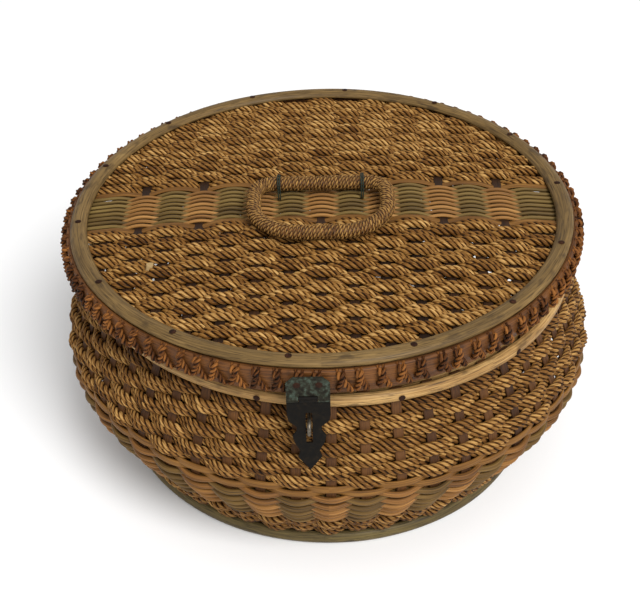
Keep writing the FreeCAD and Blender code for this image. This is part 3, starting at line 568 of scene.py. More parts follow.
def metal_material(name, stops, metallic, rough=(0.45, 0.8), grain=3 * MM, depth=0.12 * MM):
    """Old sheet metal or iron: patches of tarnish or rust over a dull ground."""
    material, tree = new_material(name)
    place = add_node(tree, "ShaderNodeTexCoord").outputs["Object"]
    patches = add_node(tree, "ShaderNodeTexNoise",
                       {"Scale": 1 / grain, "Detail": 6.0, "Roughness": 0.65},
                       {"Vector": place}).outputs["Fac"]
    colour = add_node(tree, "ShaderNodeValToRGB", links={"Fac": patches},
                      stops=stops).outputs["Color"]
    roughness = add_node(tree, "ShaderNodeMapRange", {3: rough[0], 4: rough[1]},
                         {0: patches}).outputs[0]
    finish_surface(tree, colour, roughness, patches, depth, metallic=metallic, shine=0.15)
    return material


def make_materials():
    """Every material of the basket by name."""
    return {
        # Seagrass cord: golden and olive brown by turns, with painted shade in the creases
        # between plies that leaves the crowns lighter, and a low specular sheen.
        "seagrass": fibre_material("Twisted_Seagrass", [
            (0.25, "#130801"), (0.45, "#4f300f"), (0.60, "#7a5427"), (0.80, "#b58d52")],
            fibre=0.9 * MM, length=14 * MM, depth=0.6 * MM, crease=0.45,
            lift=0.07, shine=0.12),
        # The lid's cord: the same seagrass in lighter colours.
        "seagrass_lid": fibre_material("Lighter_Lid_Seagrass", [
            (0.25, "#190b02"), (0.45, "#603c15"), (0.60, "#8b632f"), (0.80, "#c69e61")],
            fibre=0.9 * MM, length=14 * MM, depth=0.6 * MM, crease=0.45,
            lift=0.07, shine=0.12),
        # Round reed, some left tan and some dyed a dull green, both gone brown.
        "tan_reed": fibre_material("Tan_Round_Reed", [
            (0.25, "#4a2f14"), (0.50, "#805626"), (0.80, "#a87a42")], fibre=0.8 * MM,
            length=30 * MM),
        "green_reed": fibre_material("Green_Round_Reed", [
            (0.25, "#33240d"), (0.50, "#62481f"), (0.80, "#866a38")], fibre=0.8 * MM,
            length=30 * MM),
        "tan_reed_lid": fibre_material("Tan_Lid_Reed", [
            (0.25, "#553617"), (0.50, "#8c6230"), (0.80, "#b2854c")], fibre=0.6 * MM,
            length=30 * MM),
        "green_reed_lid": fibre_material("Green_Lid_Reed", [
            (0.25, "#38290f"), (0.50, "#654f26"), (0.80, "#87703c")], fibre=0.6 * MM,
            length=30 * MM),
        # Stakes: flat reed stained a warm dark brown; the lid's ribs take a darker copy of it,
        # painted shade so that the holes in the lid's weave look dark.
        "stake": fibre_material("Stained_Flat_Reed", [
            (0.25, "#251306"), (0.50, "#482b10"), (0.80, "#6c4620")]),
        "rib": fibre_material("Flat_Reed_Painted_Shade", [
            (0.25, "#110802"), (0.50, "#281608"), (0.80, "#452a12")]),
        "flat_reed": fibre_material("Flat_Reed", [
            (0.25, "#3c240b"), (0.50, "#6c4719"), (0.80, "#946a32")], fibre=0.8 * MM,
            length=30 * MM),
        # Bent wood hoops under an old worn varnish, with open grain and dark stains.
        "hoop": wood_material("Bent_Wood_Hoop", [
            (0.20, "#4a3114"), (0.45, "#8e6a3a"), (0.60, "#b08c56"), (0.85, "#cfae76")],
            "#3a2710"),
        "lid_hoop": wood_material("Greened_Wood_Hoop", [
            (0.20, "#33220c"), (0.45, "#5e4824"), (0.60, "#7a6036"), (0.85, "#9c8252")],
            "#2c1d0a"),
        "foot": wood_material("Foot_Wood_Hoop", [
            (0.20, "#2c2210"), (0.45, "#4f4122"), (0.60, "#65562f"), (0.85, "#857446")],
            "#241b0b"),
        "band": wood_material("Stained_Wood_Band", [
            (0.20, "#2c1606"), (0.50, "#5c3612"), (0.80, "#8c5a28")], "#241204"),
        # Lashing: painted shade in the creases between its plies.
        "lashing": fibre_material("Red_Brown_Lashing", [
            (0.25, "#140802"), (0.48, "#48270d"), (0.80, "#96602c")], fibre=0.6 * MM,
            depth=0.5 * MM, crease=0.35, lift=0.05, shine=0.12),
        # Grip cord: painted shade in the creases between its plies.
        "grip": fibre_material("Golden_Grip_Cord", [
            (0.25, "#120802"), (0.48, "#563616"), (0.80, "#c0944f")], fibre=0.5 * MM,
            depth=0.4 * MM, crease=0.35, lift=0.08),
        "tie": fibre_material("Dark_Green_Tie", [
            (0.25, "#10150e"), (0.50, "#232b23"), (0.80, "#414b3c")]),
        "knot": fibre_material("Pale_Reed_End", [
            (0.25, "#6b5230"), (0.50, "#a1865a"), (0.80, "#c4ad84")]),
        # Thin brass gone almost black, and the same with verdigris on it.
        "brass": metal_material("Tarnished_Brass", [
            (0.35, "#080604"), (0.55, "#110d08"), (0.75, "#211a10")], 0.3, (0.5, 0.75)),
        "verdigris": metal_material("Verdigris_Brass", [
            (0.38, "#14110a"), (0.50, "#26251b"), (0.60, "#384036"), (0.78, "#56655a")],
            0.15, (0.6, 0.85)),
        "iron": metal_material("Rusted_Iron", [
            (0.30, "#150a05"), (0.55, "#2e180c"), (0.75, "#4a2c18")], 0.2, (0.6, 0.85)),
        "steel": metal_material("Worn_Staple_Wire", [
            (0.30, "#3a342c"), (0.55, "#6b6459"), (0.75, "#8c8578")], 0.8, (0.3, 0.55)),
    }


PAINT = {}


def paint(name):
    if not PAINT:
        PAINT.update(make_materials())
    return PAINT[name]


# -------------------------------------------------------------- the side wall

REED_STEP = 2.2 * MM


def ring_route(height, inset, step):
    """Angles, centres, wall-up and outward directions of a ring on the wall.

    Angles run from the front to the right, so that across, out and along agree.
    """
    radius = float(WALL.radius(height))
    count = int(2 * math.pi * radius / step)
    angles = np.arange(count) * 2 * math.pi / count
    radial, upright = WALL.normal(height)
    outward = spokes(angles)
    out = outward * radial + np.array([0, 0, upright])
    across = outward * -upright + np.array([0, 0, radial])
    depth = inset(angles)
    base = outward * radius + np.array([0, 0, height])
    return angles, base - out * depth[:, None], across, out


def dip(phase, over_even, hold=1.5):
    """How far a strand has dipped: 0 over a stake at phase 0, 1 behind one half a turn on.

    With a hold above 1 it stays high for longer than it stays low, as thick cord does.
    """
    wave = np.cos(phase) * (1 if over_even else -1)
    return ((1 - wave) / 2) ** hold


WOBBLE = 0.15 * MM


def wall_inset(thickness, over_even, hold=1.5):
    """How deep a strand's middle lies under the layer's face as it goes round."""
    rise = min(thickness, cord().diameter) / 2
    over = wall().layer_depth - rise
    under = wall().layer_depth + wall().stake_thickness + rise

    def inset(angles):
        wobble = WOBBLE * np.sin(3 * angles)
        return over + (under - over) * dip(stake_turn(angles), over_even, hold) + wobble
    return inset


def cord_heights(low, high, rows):
    """Heights of the cords of a band, two to a row, from the top down."""
    count = 2 * rows
    return [high - (index + 0.5) * (high - low) / count for index in range(count)]


def weave_cords(name, node, rows, fullness):
    """Rows of paired cord round the wall; the rows go over alternate stakes."""
    low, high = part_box(node)
    heights = cord_heights(low[2], high[2], rows)
    for row in range(rows):
        strands = Strands()
        over_even = row % 2 == 1
        for height, closer in zip(heights[2 * row:2 * row + 2], (-1, 1)):
            angles, centres, across, out = ring_route(
                height, wall_inset(cord().diameter, over_even, 1.0), cord().step)
            pinch = closer * cord().pinch * dip(stake_turn(angles), over_even, 1.0)
            twist(strands, centres + across * pinch[:, None], across, out,
                  cord().diameter * fullness, cord().lay, True,
                  chance.uniform(0.2, 0.8), cord().plies, chance.uniform(0, math.pi))
        strands.make(f"{name}_{row + 1}", "basket", paint("seagrass"),
                     [] if row else [node], "seagrass_cord")


def weave_reeds():
    """The band of thin round reed: tan rows over even stakes, green over odd ones."""
    low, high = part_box("reed_band")
    rows = wall().reed_rows
    diameter = wall().reed_diameter
    colours = {True: Strands(), False: Strands()}
    for index in range(rows):
        height = high[2] - (index + 0.5) * (high[2] - low[2]) / rows
        over_even = index % 2 == 0
        _, centres, across, out = ring_route(
            height, wall_inset(diameter, over_even, 1.0), REED_STEP)
        colours[over_even].sweep(centres, across, out,
                                 ellipse(diameter / 2, diameter / 2, 8), True,
                                 chance.uniform(0.2, 0.8))
    colours[True].make("tan_wall_reeds", "basket", paint("tan_reed"), ["reed_band"],
                       "tan_reed")
    colours[False].make("green_wall_reeds", "basket", paint("green_reed"), [],
                        "green_reed")


def weave_flat_rows():
    """Two rows of flat reed at the belly."""
    thickness = wall().flat_thickness
    section = ellipse(wall().flat_width / 2, thickness / 2, 12, 0.6)
    for node, over_even in (("flat_reed_lower_row", False), ("flat_reed_upper_row", True)):
        low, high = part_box(node)
        strands = Strands()
        _, centres, across, out = ring_route(
            (low[2] + high[2]) / 2, wall_inset(thickness, over_even), REED_STEP)
        strands.sweep(centres, across, out, section, True, 0.6)
        strands.make(node.replace("row", "strip"), "basket", paint("flat_reed"), [node],
                     "flat_reed")


def make_stakes():
    """Upright stakes of flat reed with rounded edges."""
    low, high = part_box("side_stakes")
    heights = np.arange(low[2], high[2], 2.0 * MM)
    heights = np.append(heights, high[2])
    strands = Strands()
    section = ellipse(wall().stake_width / 2, wall().stake_thickness / 2, 14, 0.6)
    for index in range(wall().stake_count):
        angle = wall().stake_phase + index * 2 * math.pi / wall().stake_count
        outward = np.array([math.sin(angle), -math.cos(angle), 0.0])
        side = np.array([math.cos(angle), math.sin(angle), 0.0])
        reach = WALL.radius(heights) - wall().layer_depth - wall().stake_thickness / 2
        centres = outward * reach[:, None]
        centres[:, 2] = heights
        rise = unit(np.gradient(centres, axis=0))
        across = np.repeat(-side[None, :], len(heights), axis=0)
        out = np.cross(rise, across)
        strands.sweep(centres, across, out, section, tint=chance.uniform(0.1, 0.9))
    strands.make("wall_stakes", "basket", paint("stake"), ["side_stakes"], "stake_reed")


def circle_route(radius, height, step):
    """A level ring: centres, upward and outward directions."""
    count = int(2 * math.pi * radius / step)
    angles = np.arange(count) * 2 * math.pi / count
    outward = spokes(angles)
    centres = outward * radius + np.array([0, 0, height])
    across = same((0.0, 0.0, 1.0), count)
    return angles, centres, across, outward


def upright_hoop(name, node, outside, material, slot):
    """A half-round hoop on the wall, a little uneven as bent wood is."""
    low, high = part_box(node)
    height = (low[2] + high[2]) / 2
    half = (high[2] - low[2]) / 2
    points = node_points(node)
    reach = radii(points)
    depth = reach.max() - reach.min()
    face = reach.min() if outside else reach.max()
    angles, centres, across, out = circle_route(face, height, 3 * MM)
    wave = 1 + 0.02 * np.sin(5 * angles + half * 900) + 0.015 * np.sin(11 * angles)
    section = half_round(half, depth)
    strands = Strands()
    if not outside:
        out = -out
        centres, across, out = centres[::-1], across[::-1], out[::-1]
    strands.sweep(centres, across, out, section, True, 0.5, wave * 0.965)
    strands.make(name, "basket", paint(material), [node], slot)


def make_base():
    """The base: flat reed woven over and under in squares, trimmed round."""
    low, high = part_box("base_panel")
    radius = (high[0] - low[0]) / 2
    top = high[2]
    pitch = wall().base_pitch
    thick = wall().base_thickness
    section = ellipse(0.49 * pitch, thick / 2, 8, 0.6)
    strands = Strands()
    count = int(radius / pitch)
    for way in range(2):
        for index in range(-count, count + 1):
            place = index * pitch
            reach = math.sqrt(radius ** 2 - place ** 2)
            run = np.linspace(-reach, reach, int(2 * reach / (1.5 * MM)) + 2)
            wave = np.cos(math.pi * run / pitch) * (1 if (index + way) % 2 else -1)
            level = (low[2] + top) / 2 + wave * thick / 2
            along = np.stack([run, np.full_like(run, place), level], axis=1)
            across = same((0.0, 1.0, 0.0), len(run))
            if way:
                along = along[:, [1, 0, 2]] * np.array([-1, 1, 1])
                across = same((-1.0, 0.0, 0.0), len(run))
            out = same((0.0, 0.0, 1.0), len(run))
            strands.sweep(along, across, out, section, tint=chance.uniform(0.2, 0.8))
    strands.make("woven_base", "basket", paint("flat_reed"), ["base_panel"], "flat_reed")


# -------------------------------------------------------------------- the lid

def lid_route(y, thickness, over_even, step, drop, hold=1.5):
    """A strand across the lid that goes over and under its ribs.

    Past the last rib it stays level.
    """
    edge = DOME.edge - lid().edge_gap
    pitch = rib_pitch()
    last = (lid().rib_count - 1) / 2
    reach = math.sqrt(max(edge ** 2 - y ** 2, 0.0))
    run = np.linspace(-reach, reach, max(int(2 * reach / step), 8))
    phase = math.pi * np.clip(run / pitch, -last, last)
    level = drop + (thickness + lid().rib_thickness) * dip(phase, over_even, hold)
    shell = DOME.radius - level
    height = DOME.centre + np.sqrt(shell ** 2 - run ** 2 - y ** 2)
    centres = np.stack([run, np.full_like(run, y), height], axis=1)
    out = unit(centres - np.array([0, 0, DOME.centre]))
    along = same((1.0, 0.0, 0.0), len(run))
    across = unit(np.cross(out, along))
    return centres, across, out


def field_edge():
    """How far from the middle the cord fields start."""
    return float(np.abs(lid_points("lid_cords_front")[:, 1]).min())


CORDS_TO_A_PIECE = 12


def weave_lid_cords():
    """Rows of paired cord over the front and the back of the lid."""
    start = field_edge()
    pitch = lid().cord_pitch
    count = int((DOME.edge - start) / pitch) - 1
    for name, node, sign in (("front_lid_cords", "lid_cords_front", -1),
                             ("back_lid_cords", "lid_cords_back", 1)):
        for first in range(0, count, CORDS_TO_A_PIECE):
            strands = Strands()
            for index in range(first, min(first + CORDS_TO_A_PIECE, count)):
                y = sign * (start + (index + 0.5) * pitch)
                over_even = (index // 2) % 2 == 1
                centres, across, out = lid_route(
                    y, cord().diameter, over_even, cord().step, cord().diameter / 2)
                closer = sign if index % 2 == 0 else -sign
                turn = math.pi * centres[:, 0] / rib_pitch()
                centres[:, 1] += closer * cord().pinch / 2 * dip(turn, over_even)
                twist(strands, centres, across, out,
                      cord().diameter * lid().cord_fullness, cord().lay, False,
                      chance.uniform(0.2, 0.8), cord().plies, chance.uniform(0, math.pi))
            strands.make(f"{name}_{first // CORDS_TO_A_PIECE + 1}", "lid",
                         paint("seagrass_lid"), [] if first else [node],
                         "seagrass_cord", LID)


def weave_lid_reeds():
    """The two-coloured band of round reed across the lid's middle."""
    count = lid().reed_count
    diameter = lid().reed_diameter
    spread = np.ptp(lid_points("lid_reeds_tan")[:, 1])
    pitch = (spread - diameter) / (count - 2)
    section = ellipse(diameter / 2, diameter / 2, 8)
    colours = {True: Strands(), False: Strands()}
    for index in range(count):
        y = (index - (count - 1) / 2) * pitch
        over_even = index % 2 == 0
        centres, across, out = lid_route(y, diameter, over_even, REED_STEP,
                                         cord().diameter - diameter / 2, 1.0)
        colours[over_even].sweep(centres, across, out, section,
                                 tint=chance.uniform(0.2, 0.8))
    colours[True].make("tan_lid_reeds", "lid", paint("tan_reed_lid"), ["lid_reeds_tan"],
                       "tan_reed", LID)
    colours[False].make("green_lid_reeds", "lid", paint("green_reed_lid"),
                        ["lid_reeds_green"], "green_reed", LID)


def weave_lid_flats():
    """One flat reed along each side of the reed band."""
    strands = Strands()
    points = lid_points("lid_flat_reeds")
    place = float((np.abs(points[:, 1]).min() + np.abs(points[:, 1]).max()) / 2)
    thickness = lid().flat_thickness
    section = ellipse(lid().flat_width / 2, thickness / 2, 12, 0.6)
    drop = cord().diameter - thickness / 2 - lid().flat_lift
    for side in (-1, 1):
        centres, across, out = lid_route(side * place, thickness, False, REED_STEP, drop)
        strands.sweep(centres, across, out, section, tint=0.5)
    strands.make("lid_flat_strips", "lid", paint("flat_reed"), ["lid_flat_reeds"],
                 "flat_reed", LID)


STUB_PLACE = (-104.0 * MM, -67.5 * MM)
STUB_LEAN = 1.5 * MM
STUB_DEPTH = 4.0 * MM
STUB_HEIGHT = 2.0 * MM


def make_knot():
    """A stub of pale reed that pokes up through the front of the lid's weave."""
    x, y = STUB_PLACE
    top = float(DOME.height(x, y, 0.0))
    run = np.linspace(0, 1, 8)[:, None]
    start = np.array([x, y, top - STUB_DEPTH])
    end = np.array([x + STUB_LEAN, y + STUB_LEAN, top + STUB_HEIGHT])
    centres = start * (1 - run) + end * run
    across = same((1.0, 0.0, 0.0), len(run))
    out = same((0.0, 1.0, 0.0), len(run))
    strands = Strands()
    strands.sweep(centres, out, across, ellipse(1.7 * MM, 2.2 * MM, 14, 0.8), tint=0.5)
    strands.make("reed_end_stub", "lid", paint("knot"), [], "tan_reed", LID)


def make_lid_ribs():
    """Ribs of flat reed from front to back under the lid's weave."""
    strands = Strands()
    drop = cord().diameter + lid().rib_thickness / 2
    section = ellipse(lid().rib_width / 2, lid().rib_thickness / 2, 14, 0.6)
    pitch = rib_pitch()
    for index in range(lid().rib_count):
        x = (index - (lid().rib_count - 1) / 2) * pitch
        reach = math.sqrt(DOME.edge ** 2 - x ** 2)
        run = np.linspace(-reach, reach, 80)
        height = DOME.centre + np.sqrt((DOME.radius - drop) ** 2 - run ** 2 - x ** 2)
        centres = np.stack([np.full_like(run, x), run, height], axis=1)
        out = unit(centres - np.array([0, 0, DOME.centre]))
        along = same((0.0, 1.0, 0.0), len(run))
        across = np.cross(out, along)
        strands.sweep(centres, across, out, section, tint=chance.uniform(0.1, 0.9))
    # The ribs take the darker copy of the stake colour: painted shade under the weave.
    strands.make("lid_ribs_bent", "lid", paint("rib"), ["lid_ribs"], "stake_reed", LID)


def make_lid_hoops():
    """The lid's crowned top hoop, the band round it and the seat hoop under it."""
    points = lid_points("lid_hoop")
    reach = radii(points)
    half = (reach.max() - reach.min()) / 2
    angles, centres, across, out = circle_route(reach.min() + half, 0.0, 3 * MM)
    wave = 1 + 0.03 * np.sin(4 * angles + 1) + 0.02 * np.sin(9 * angles)
    strands = Strands()
    section = half_round(half, points[:, 2].max())
    strands.sweep(centres, -out, across, section, True, 0.5, wave * 0.98)
    strands.make("top_hoop", "lid", paint("lid_hoop"), ["lid_hoop"], "hoop_wood", LID)
    for name, node, material in (("lashed_band", "lid_rim_band", "band"),
                                 ("seat_hoop", "lid_seat_hoop", "band")):
        points = lid_points(node)
        reach = radii(points)
        low, high = points[:, 2].min(), min(points[:, 2].max(), -0.6 * MM)
        inner = reach.min() - lid().hoop_tuck
        middle = (inner + reach.max()) / 2
        angles, centres, across, out = circle_route(middle, (low + high) / 2, 3 * MM)
        strands = Strands()
        section = ellipse((high - low) / 2, (reach.max() - inner) / 2, 20, 0.35)
        strands.sweep(centres, across, out, section, True, 0.5)
        strands.make(name, "lid", paint(material), [node], "band_wood", LID)


TUCK_START = 0.72
LASH_LEAN = 6.8 * MM
HOOK_LEAN = 3.6 * MM
LEAN_SPREAD = 1.0 * MM


def lashing_wrap(strands, start, sweep, face, low, high, lift, diameter):
    """One turn of lashing cord: down the band's face and tucked in at both ends."""
    steps = 18
    run = np.linspace(0, 1, steps)
    turn = start + sweep * (run - 0.5)
    height = high + (low - high) * run
    tuck = np.clip(np.abs(run - 0.5) * 2 - TUCK_START, 0, 1) / (1 - TUCK_START)
    reach = face + diameter * 0.5 + lift - (diameter + lift) * tuck ** 2
    outward = spokes(turn)
    centres = outward * reach[:, None]
    centres[:, 2] = height
    along = unit(np.gradient(centres, axis=0))
    across = unit(np.cross(outward, along))
    out = np.cross(along, across)
    twist(strands, centres, across, out, diameter, lid().wrap_lay, False,
          chance.uniform(0.1, 0.9))


def make_lashing():
    """Cord wraps over the band: a long leaning turn and a short one crossed over it."""
    points = lid_points("lid_rim_band")
    face = radii(points).max()
    low, high = points[:, 2].min() - 1.2 * MM, points[:, 2].max() - 2.4 * MM
    strands = Strands()
    for index in range(lid().wrap_count):
        angle = 2 * math.pi * (index + chance.uniform(-0.1, 0.1)) / lid().wrap_count
        lean = (LASH_LEAN + LEAN_SPREAD * chance.uniform(-1.0, 1.0)) / face
        lashing_wrap(strands, angle, lean, face, low, high, 0.0, lid().wrap_diameter)
        back = -(HOOK_LEAN + LEAN_SPREAD * chance.uniform(-1.0, 1.0)) / face
        middle = low + (high - low) * chance.uniform(0.1, 0.3)
        lashing_wrap(strands, angle - 0.3 * lean, back, face, middle, high, 1.0 * MM,
                     lid().hook_diameter)
    strands.make("band_lashing", "lid", paint("lashing"), ["lid_rim_lashing"],
                 "red_cord", LID)


# ------------------------------------------------------------- grip and ties

def grip_frame():
    """The grip's frame at rest: its back side's middle, tilted with the grip."""
    pivot = Vector(joint("grip_hinge")["pos_m"])
    return Matrix.Translation(pivot) @ LID.to_3x3().to_4x4() @ Matrix.Rotation(
        math.radians(0.9), 4, "X")


def grip_route(step):
    """The closed D of the grip: centres and inward directions."""
    points = node_points("grip_wrap")
    local = points @ np.array(grip_frame().inverted())[:3, :3].T
    local += np.array(grip_frame().inverted())[:3, 3]
    bar = local[:, 2].max()
    wide = local[:, 0].max() - bar
    deep = -local[:, 1].min() - bar
    tight, broad = 12 * MM, 30 * MM
    corners = [(wide - tight, -tight, tight, 90, 0), (wide - broad, broad - deep, broad, 0, -90),
               (broad - wide, broad - deep, broad, -90, -180),
               (tight - wide, -tight, tight, -180, -270)]
    spots = []
    for x, y, bend, first, last in corners:
        angles = np.radians(np.linspace(first, last, 24))
        spots += [(x + bend * math.cos(a), y + bend * math.sin(a)) for a in angles]
    spots = np.array(spots + [spots[0]])
    gaps = np.linalg.norm(np.diff(spots, axis=0), axis=1)
    along = np.concatenate([[0], np.cumsum(gaps)])
    count = int(along[-1] / step)
    places = np.arange(count) * along[-1] / count
    x = np.interp(places, along, spots[:, 0])
    y = np.interp(places, along, spots[:, 1])
    centres = np.stack([x, y, np.zeros(count)], axis=1)
    forward = unit(np.roll(centres, -1, axis=0) - np.roll(centres, 1, axis=0))
    up = same((0.0, 0.0, 1.0), count)
    return centres, forward, up, bar, along[-1]


def make_grip():
    """The grip: a bent core under close turns of fine twisted cord."""
    centres, forward, up, bar, distance = grip_route(1.0 * MM)
    side = np.cross(up, forward)
    core = Strands()
    core.sweep(centres, side, up, ellipse(bar * 0.8, bar * 0.8, 12), True, 0.5)
    core.make("grip_bar", "grip", paint("band"), ["grip_core"], "hoop_wood", grip_frame())
    turns = round(distance / grip().winding_pitch)
    per_turn = 24
    count = turns * per_turn
    diameter = grip().winding_diameter
    place = np.arange(count) / count * len(centres)
    base = place.astype(int)
    part = (place - base)[:, None]
    following = (base + 1) % len(centres)
    spine = centres[base] * (1 - part) + centres[following] * part
    beside = side[base] * (1 - part) + side[following] * part
    angle = 2 * math.pi * np.arange(count) / per_turn
    out = np.cos(angle)[:, None] * beside + np.sin(angle)[:, None] * up[base]
    reach = bar - diameter / 2 + 0.12 * MM * np.sin(place * 0.9)[:, None]
    route = spine + out * reach
    along = unit(np.roll(route, -1, axis=0) - np.roll(route, 1, axis=0))
    across = unit(np.cross(out, along))
    wrap = Strands()
    twist(wrap, route, across, out, diameter, grip().winding_lay, True, 0.5)
    wrap.make("grip_winding", "grip", paint("grip"), ["grip_wrap"], "grip_cord",
              grip_frame())


def make_ties():
    """Dark cord ties that hold the grip's back side down."""
    points = lid_points("grip_ties")
    low, high = points.min(axis=0), points.max(axis=0)
    wire = grip().tie_diameter / 2
    half = (high[1] - low[1]) / 2 - 2.2 * MM + wire
    middle_y = (high[1] + low[1]) / 2
    bend = high[2] - 2.2 * MM + wire - half
    strands = Strands()
    for x in (low[0] + wire, high[0] - wire):
        for shift in (-0.6 * MM, 0.6 * MM):
            angle = np.linspace(0, math.pi, 24)
            arch = np.stack([np.full(24, x + shift), middle_y - half * np.cos(angle),
                             bend + half * np.sin(angle)], axis=1)
            foot = low[2] - 2.0 * MM
            start = np.array([[x + shift, middle_y - half, z]
                              for z in np.linspace(foot, bend, 6)[:-1]])
            end = start[::-1] * np.array([1, 0, 1]) + np.array([0, middle_y + half, 0])
            route = np.concatenate([start, arch, end])
            along = unit(np.gradient(route, axis=0))
            across = same((1.0, 0.0, 0.0), len(route))
            out = np.cross(along, across)
            twist(strands, route, across, out, 2 * wire, 4 * MM, False, 0.5)
    strands.make("grip_tie_cords", "lid", paint("tie"), ["grip_ties"], "dark_cord", LID)


# --------------------------------------------------------------- metal pieces

METAL = {
    "hasp_leaf": ("verdigris", "old_brass"), "hasp_strap": ("brass", "old_brass"),
    "hasp_pin": ("iron", "rusty_iron"), "hasp_leaf_nails": ("iron", "rusty_iron"),
    "hasp_staple": ("steel", "rusty_iron"), "rim_nails": ("iron", "rusty_iron"),
    "lid_hoop_nails": ("iron", "rusty_iron"),
    "rear_hinge_lid_leaf": ("brass", "old_brass"),
    "rear_hinge_body_leaf": ("brass", "old_brass"),
    "rear_hinge_pin": ("iron", "rusty_iron"),
    "rear_hinge_lid_nails": ("iron", "rusty_iron"),
    "rear_hinge_body_nails": ("iron", "rusty_iron"),
}


def finish_metal():
    """Give the metal pieces of the frame their finish."""
    for node, (material, slot) in METAL.items():
        item = frame["nodes"][node]
        item.data.materials.clear()
        item.data.materials.append(paint(material))


# ------------------------------------------------------------------ the stage

FLOOR_REACH = 30.0
KEY_PLACE = (1.1, -2.0, 2.6)
KEY_TARGET = (0, 0, 0.1)
CAMERA_PLACE = (-5.2 * MM, -655.1 * MM, 582.7 * MM)
CAMERA_DIP = 37.4


def aim(item, target):
    direction = Vector(target) - item.location
    item.rotation_euler = direction.to_track_quat("-Z", "Y").to_euler()


def area_light(name, place, target, power, width):
    data = bpy.data.lights.new(name, "AREA")
    data.energy = power
    data.shape = "DISK"
    data.size = width
    lamp = bpy.data.objects.new(name, data)
    bpy.context.scene.collection.objects.link(lamp)
    lamp.location = place
    aim(lamp, target)
    return lamp


def make_stage():
    """A pale floor, a soft lamp, light from all round and the camera."""
    scene = bpy.context.scene
    floor_mesh = bpy.data.meshes.new("floor")
    corners = [(-FLOOR_REACH, -FLOOR_REACH, 0), (FLOOR_REACH, -FLOOR_REACH, 0),
               (FLOOR_REACH, FLOOR_REACH, 0), (-FLOOR_REACH, FLOOR_REACH, 0)]
    floor_mesh.from_pydata(corners, [], [(0, 1, 2, 3)])
    floor = bpy.data.objects.new("floor", floor_mesh)
    scene.collection.objects.link(floor)
    material, tree = new_material("Pale_Floor")
    surface = add_node(tree, "ShaderNodeBsdfPrincipled",
                       {"Base Color": (0.9, 0.9, 0.9, 1.0), "Roughness": 0.9})
    add_node(tree, "ShaderNodeOutputMaterial", links={"Surface": surface.outputs["BSDF"]})
    floor_mesh.materials.append(material)
    world = bpy.data.worlds.new("studio")
    scene.world = world
    world.use_nodes = True
    world.node_tree.nodes["Background"].inputs["Color"].default_value = (1, 1, 1, 1)
    world.node_tree.nodes["Background"].inputs["Strength"].default_value = stage().sky
    scene.view_settings.view_transform = "Standard"
    area_light("key", KEY_PLACE, KEY_TARGET, stage().key_power, stage().key_width)
    lens = bpy.data.cameras.new("camera")
    lens.sensor_width = 36.0
    lens.lens = stage().lens
    lens.clip_start = 0.01
    camera = bpy.data.objects.new("camera", lens)
    scene.collection.objects.link(camera)
    camera.location = CAMERA_PLACE
    camera.rotation_euler = (math.radians(90 - CAMERA_DIP), 0.0, 0.0)
    scene.camera = camera


# ----------------------------------------------------------- add-on structure

class WeaveWall(bpy.types.Operator):
    """Weave the side wall and its stakes"""
    bl_idname = "basket.weave_wall"
    bl_label = "Weave Wall"

    def execute(self, context):
        make_stakes()
        weave_cords("upper_wall_pair", "upper_cord_weave", wall().cord_rows,
                    wall().cord_fullness)
        weave_cords("lower_wall_pair", "lower_cord_border", wall().border_rows,
                    wall().border_fullness)
        weave_reeds()
        weave_flat_rows()
        return {"FINISHED"}


class BendWallHoops(bpy.types.Operator):
    """Bend the hoops of the foot and the rim"""
    bl_idname = "basket.bend_wall_hoops"
    bl_label = "Bend Wall Hoops"

    def execute(self, context):
        upright_hoop("foot_hoop_outside", "foot_hoop", True, "foot", "hoop_wood")
        upright_hoop("foot_hoop_inside", "foot_hoop_inner", False, "foot", "hoop_wood")
        upright_hoop("rim_hoop_outside", "rim_hoop", True, "hoop", "hoop_wood")
        upright_hoop("rim_hoop_inside", "rim_hoop_inner", False, "hoop", "hoop_wood")
        return {"FINISHED"}


class WeaveBase(bpy.types.Operator):
    """Weave the base"""
    bl_idname = "basket.weave_base"
    bl_label = "Weave Base"

    def execute(self, context):
        make_base()
        return {"FINISHED"}


class WeaveLid(bpy.types.Operator):
    """Weave the lid over its ribs"""
    bl_idname = "basket.weave_lid"
    bl_label = "Weave Lid"

    def execute(self, context):
        make_lid_ribs()
        weave_lid_cords()
        weave_lid_reeds()
        weave_lid_flats()
        make_knot()
        return {"FINISHED"}


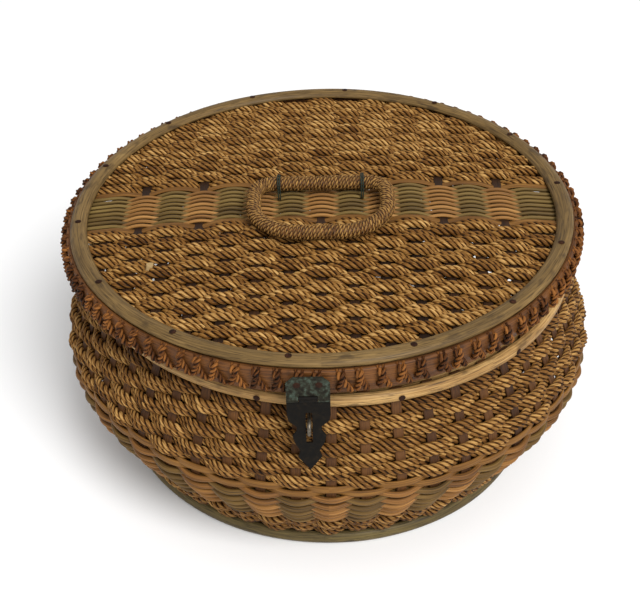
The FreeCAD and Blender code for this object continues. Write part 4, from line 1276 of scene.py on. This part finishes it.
class LashLidRim(bpy.types.Operator):
    """Bend the lid's hoops and lash the band to them"""
    bl_idname = "basket.lash_lid_rim"
    bl_label = "Lash Lid Rim"

    def execute(self, context):
        make_lid_hoops()
        make_lashing()
        return {"FINISHED"}


class WindGrip(bpy.types.Operator):
    """Wind the grip and tie it down"""
    bl_idname = "basket.wind_grip"
    bl_label = "Wind Grip"

    def execute(self, context):
        make_grip()
        make_ties()
        return {"FINISHED"}


class FinishMetal(bpy.types.Operator):
    """Finish the hasp, hinge and nails"""
    bl_idname = "basket.finish_metal"
    bl_label = "Finish Metal"

    def execute(self, context):
        finish_metal()
        return {"FINISHED"}


class SetStage(bpy.types.Operator):
    """Set the floor, lights and camera"""
    bl_idname = "basket.set_stage"
    bl_label = "Set Stage"

    def execute(self, context):
        make_stage()
        return {"FINISHED"}


class BasketPanel(bpy.types.Panel):
    """The basket's steps in the sidebar"""
    bl_idname = "VIEW3D_PT_basket"
    bl_label = "Basket"
    bl_space_type = "VIEW_3D"
    bl_region_type = "UI"
    bl_category = "Basket"

    def draw(self, context):
        for name, group in GROUPS.items():
            box = self.layout.box()
            box.label(text=group.__doc__)
            for key in group.__annotations__:
                box.prop(getattr(context.scene, name), key)
        for step in STEPS:
            self.layout.operator(step.bl_idname)


STEPS = (WeaveWall, BendWallHoops, WeaveBase, WeaveLid, LashLidRim, WindGrip, FinishMetal,
         SetStage)


CLASSES = tuple(GROUPS.values()) + STEPS + (BasketPanel,)


def register():
    for item in CLASSES:
        bpy.utils.register_class(item)
    for name, group in GROUPS.items():
        setattr(bpy.types.Scene, name, PointerProperty(type=group))


def unregister():
    for name in GROUPS:
        delattr(bpy.types.Scene, name)
    for item in reversed(CLASSES):
        bpy.utils.unregister_class(item)


def main():
    register()
    bpy.ops.basket.weave_wall()
    bpy.ops.basket.bend_wall_hoops()
    bpy.ops.basket.weave_base()
    bpy.ops.basket.weave_lid()
    bpy.ops.basket.lash_lid_rim()
    bpy.ops.basket.wind_grip()
    bpy.ops.basket.finish_metal()
    bpy.ops.basket.set_stage()


if __name__ == "__main__":
    main()
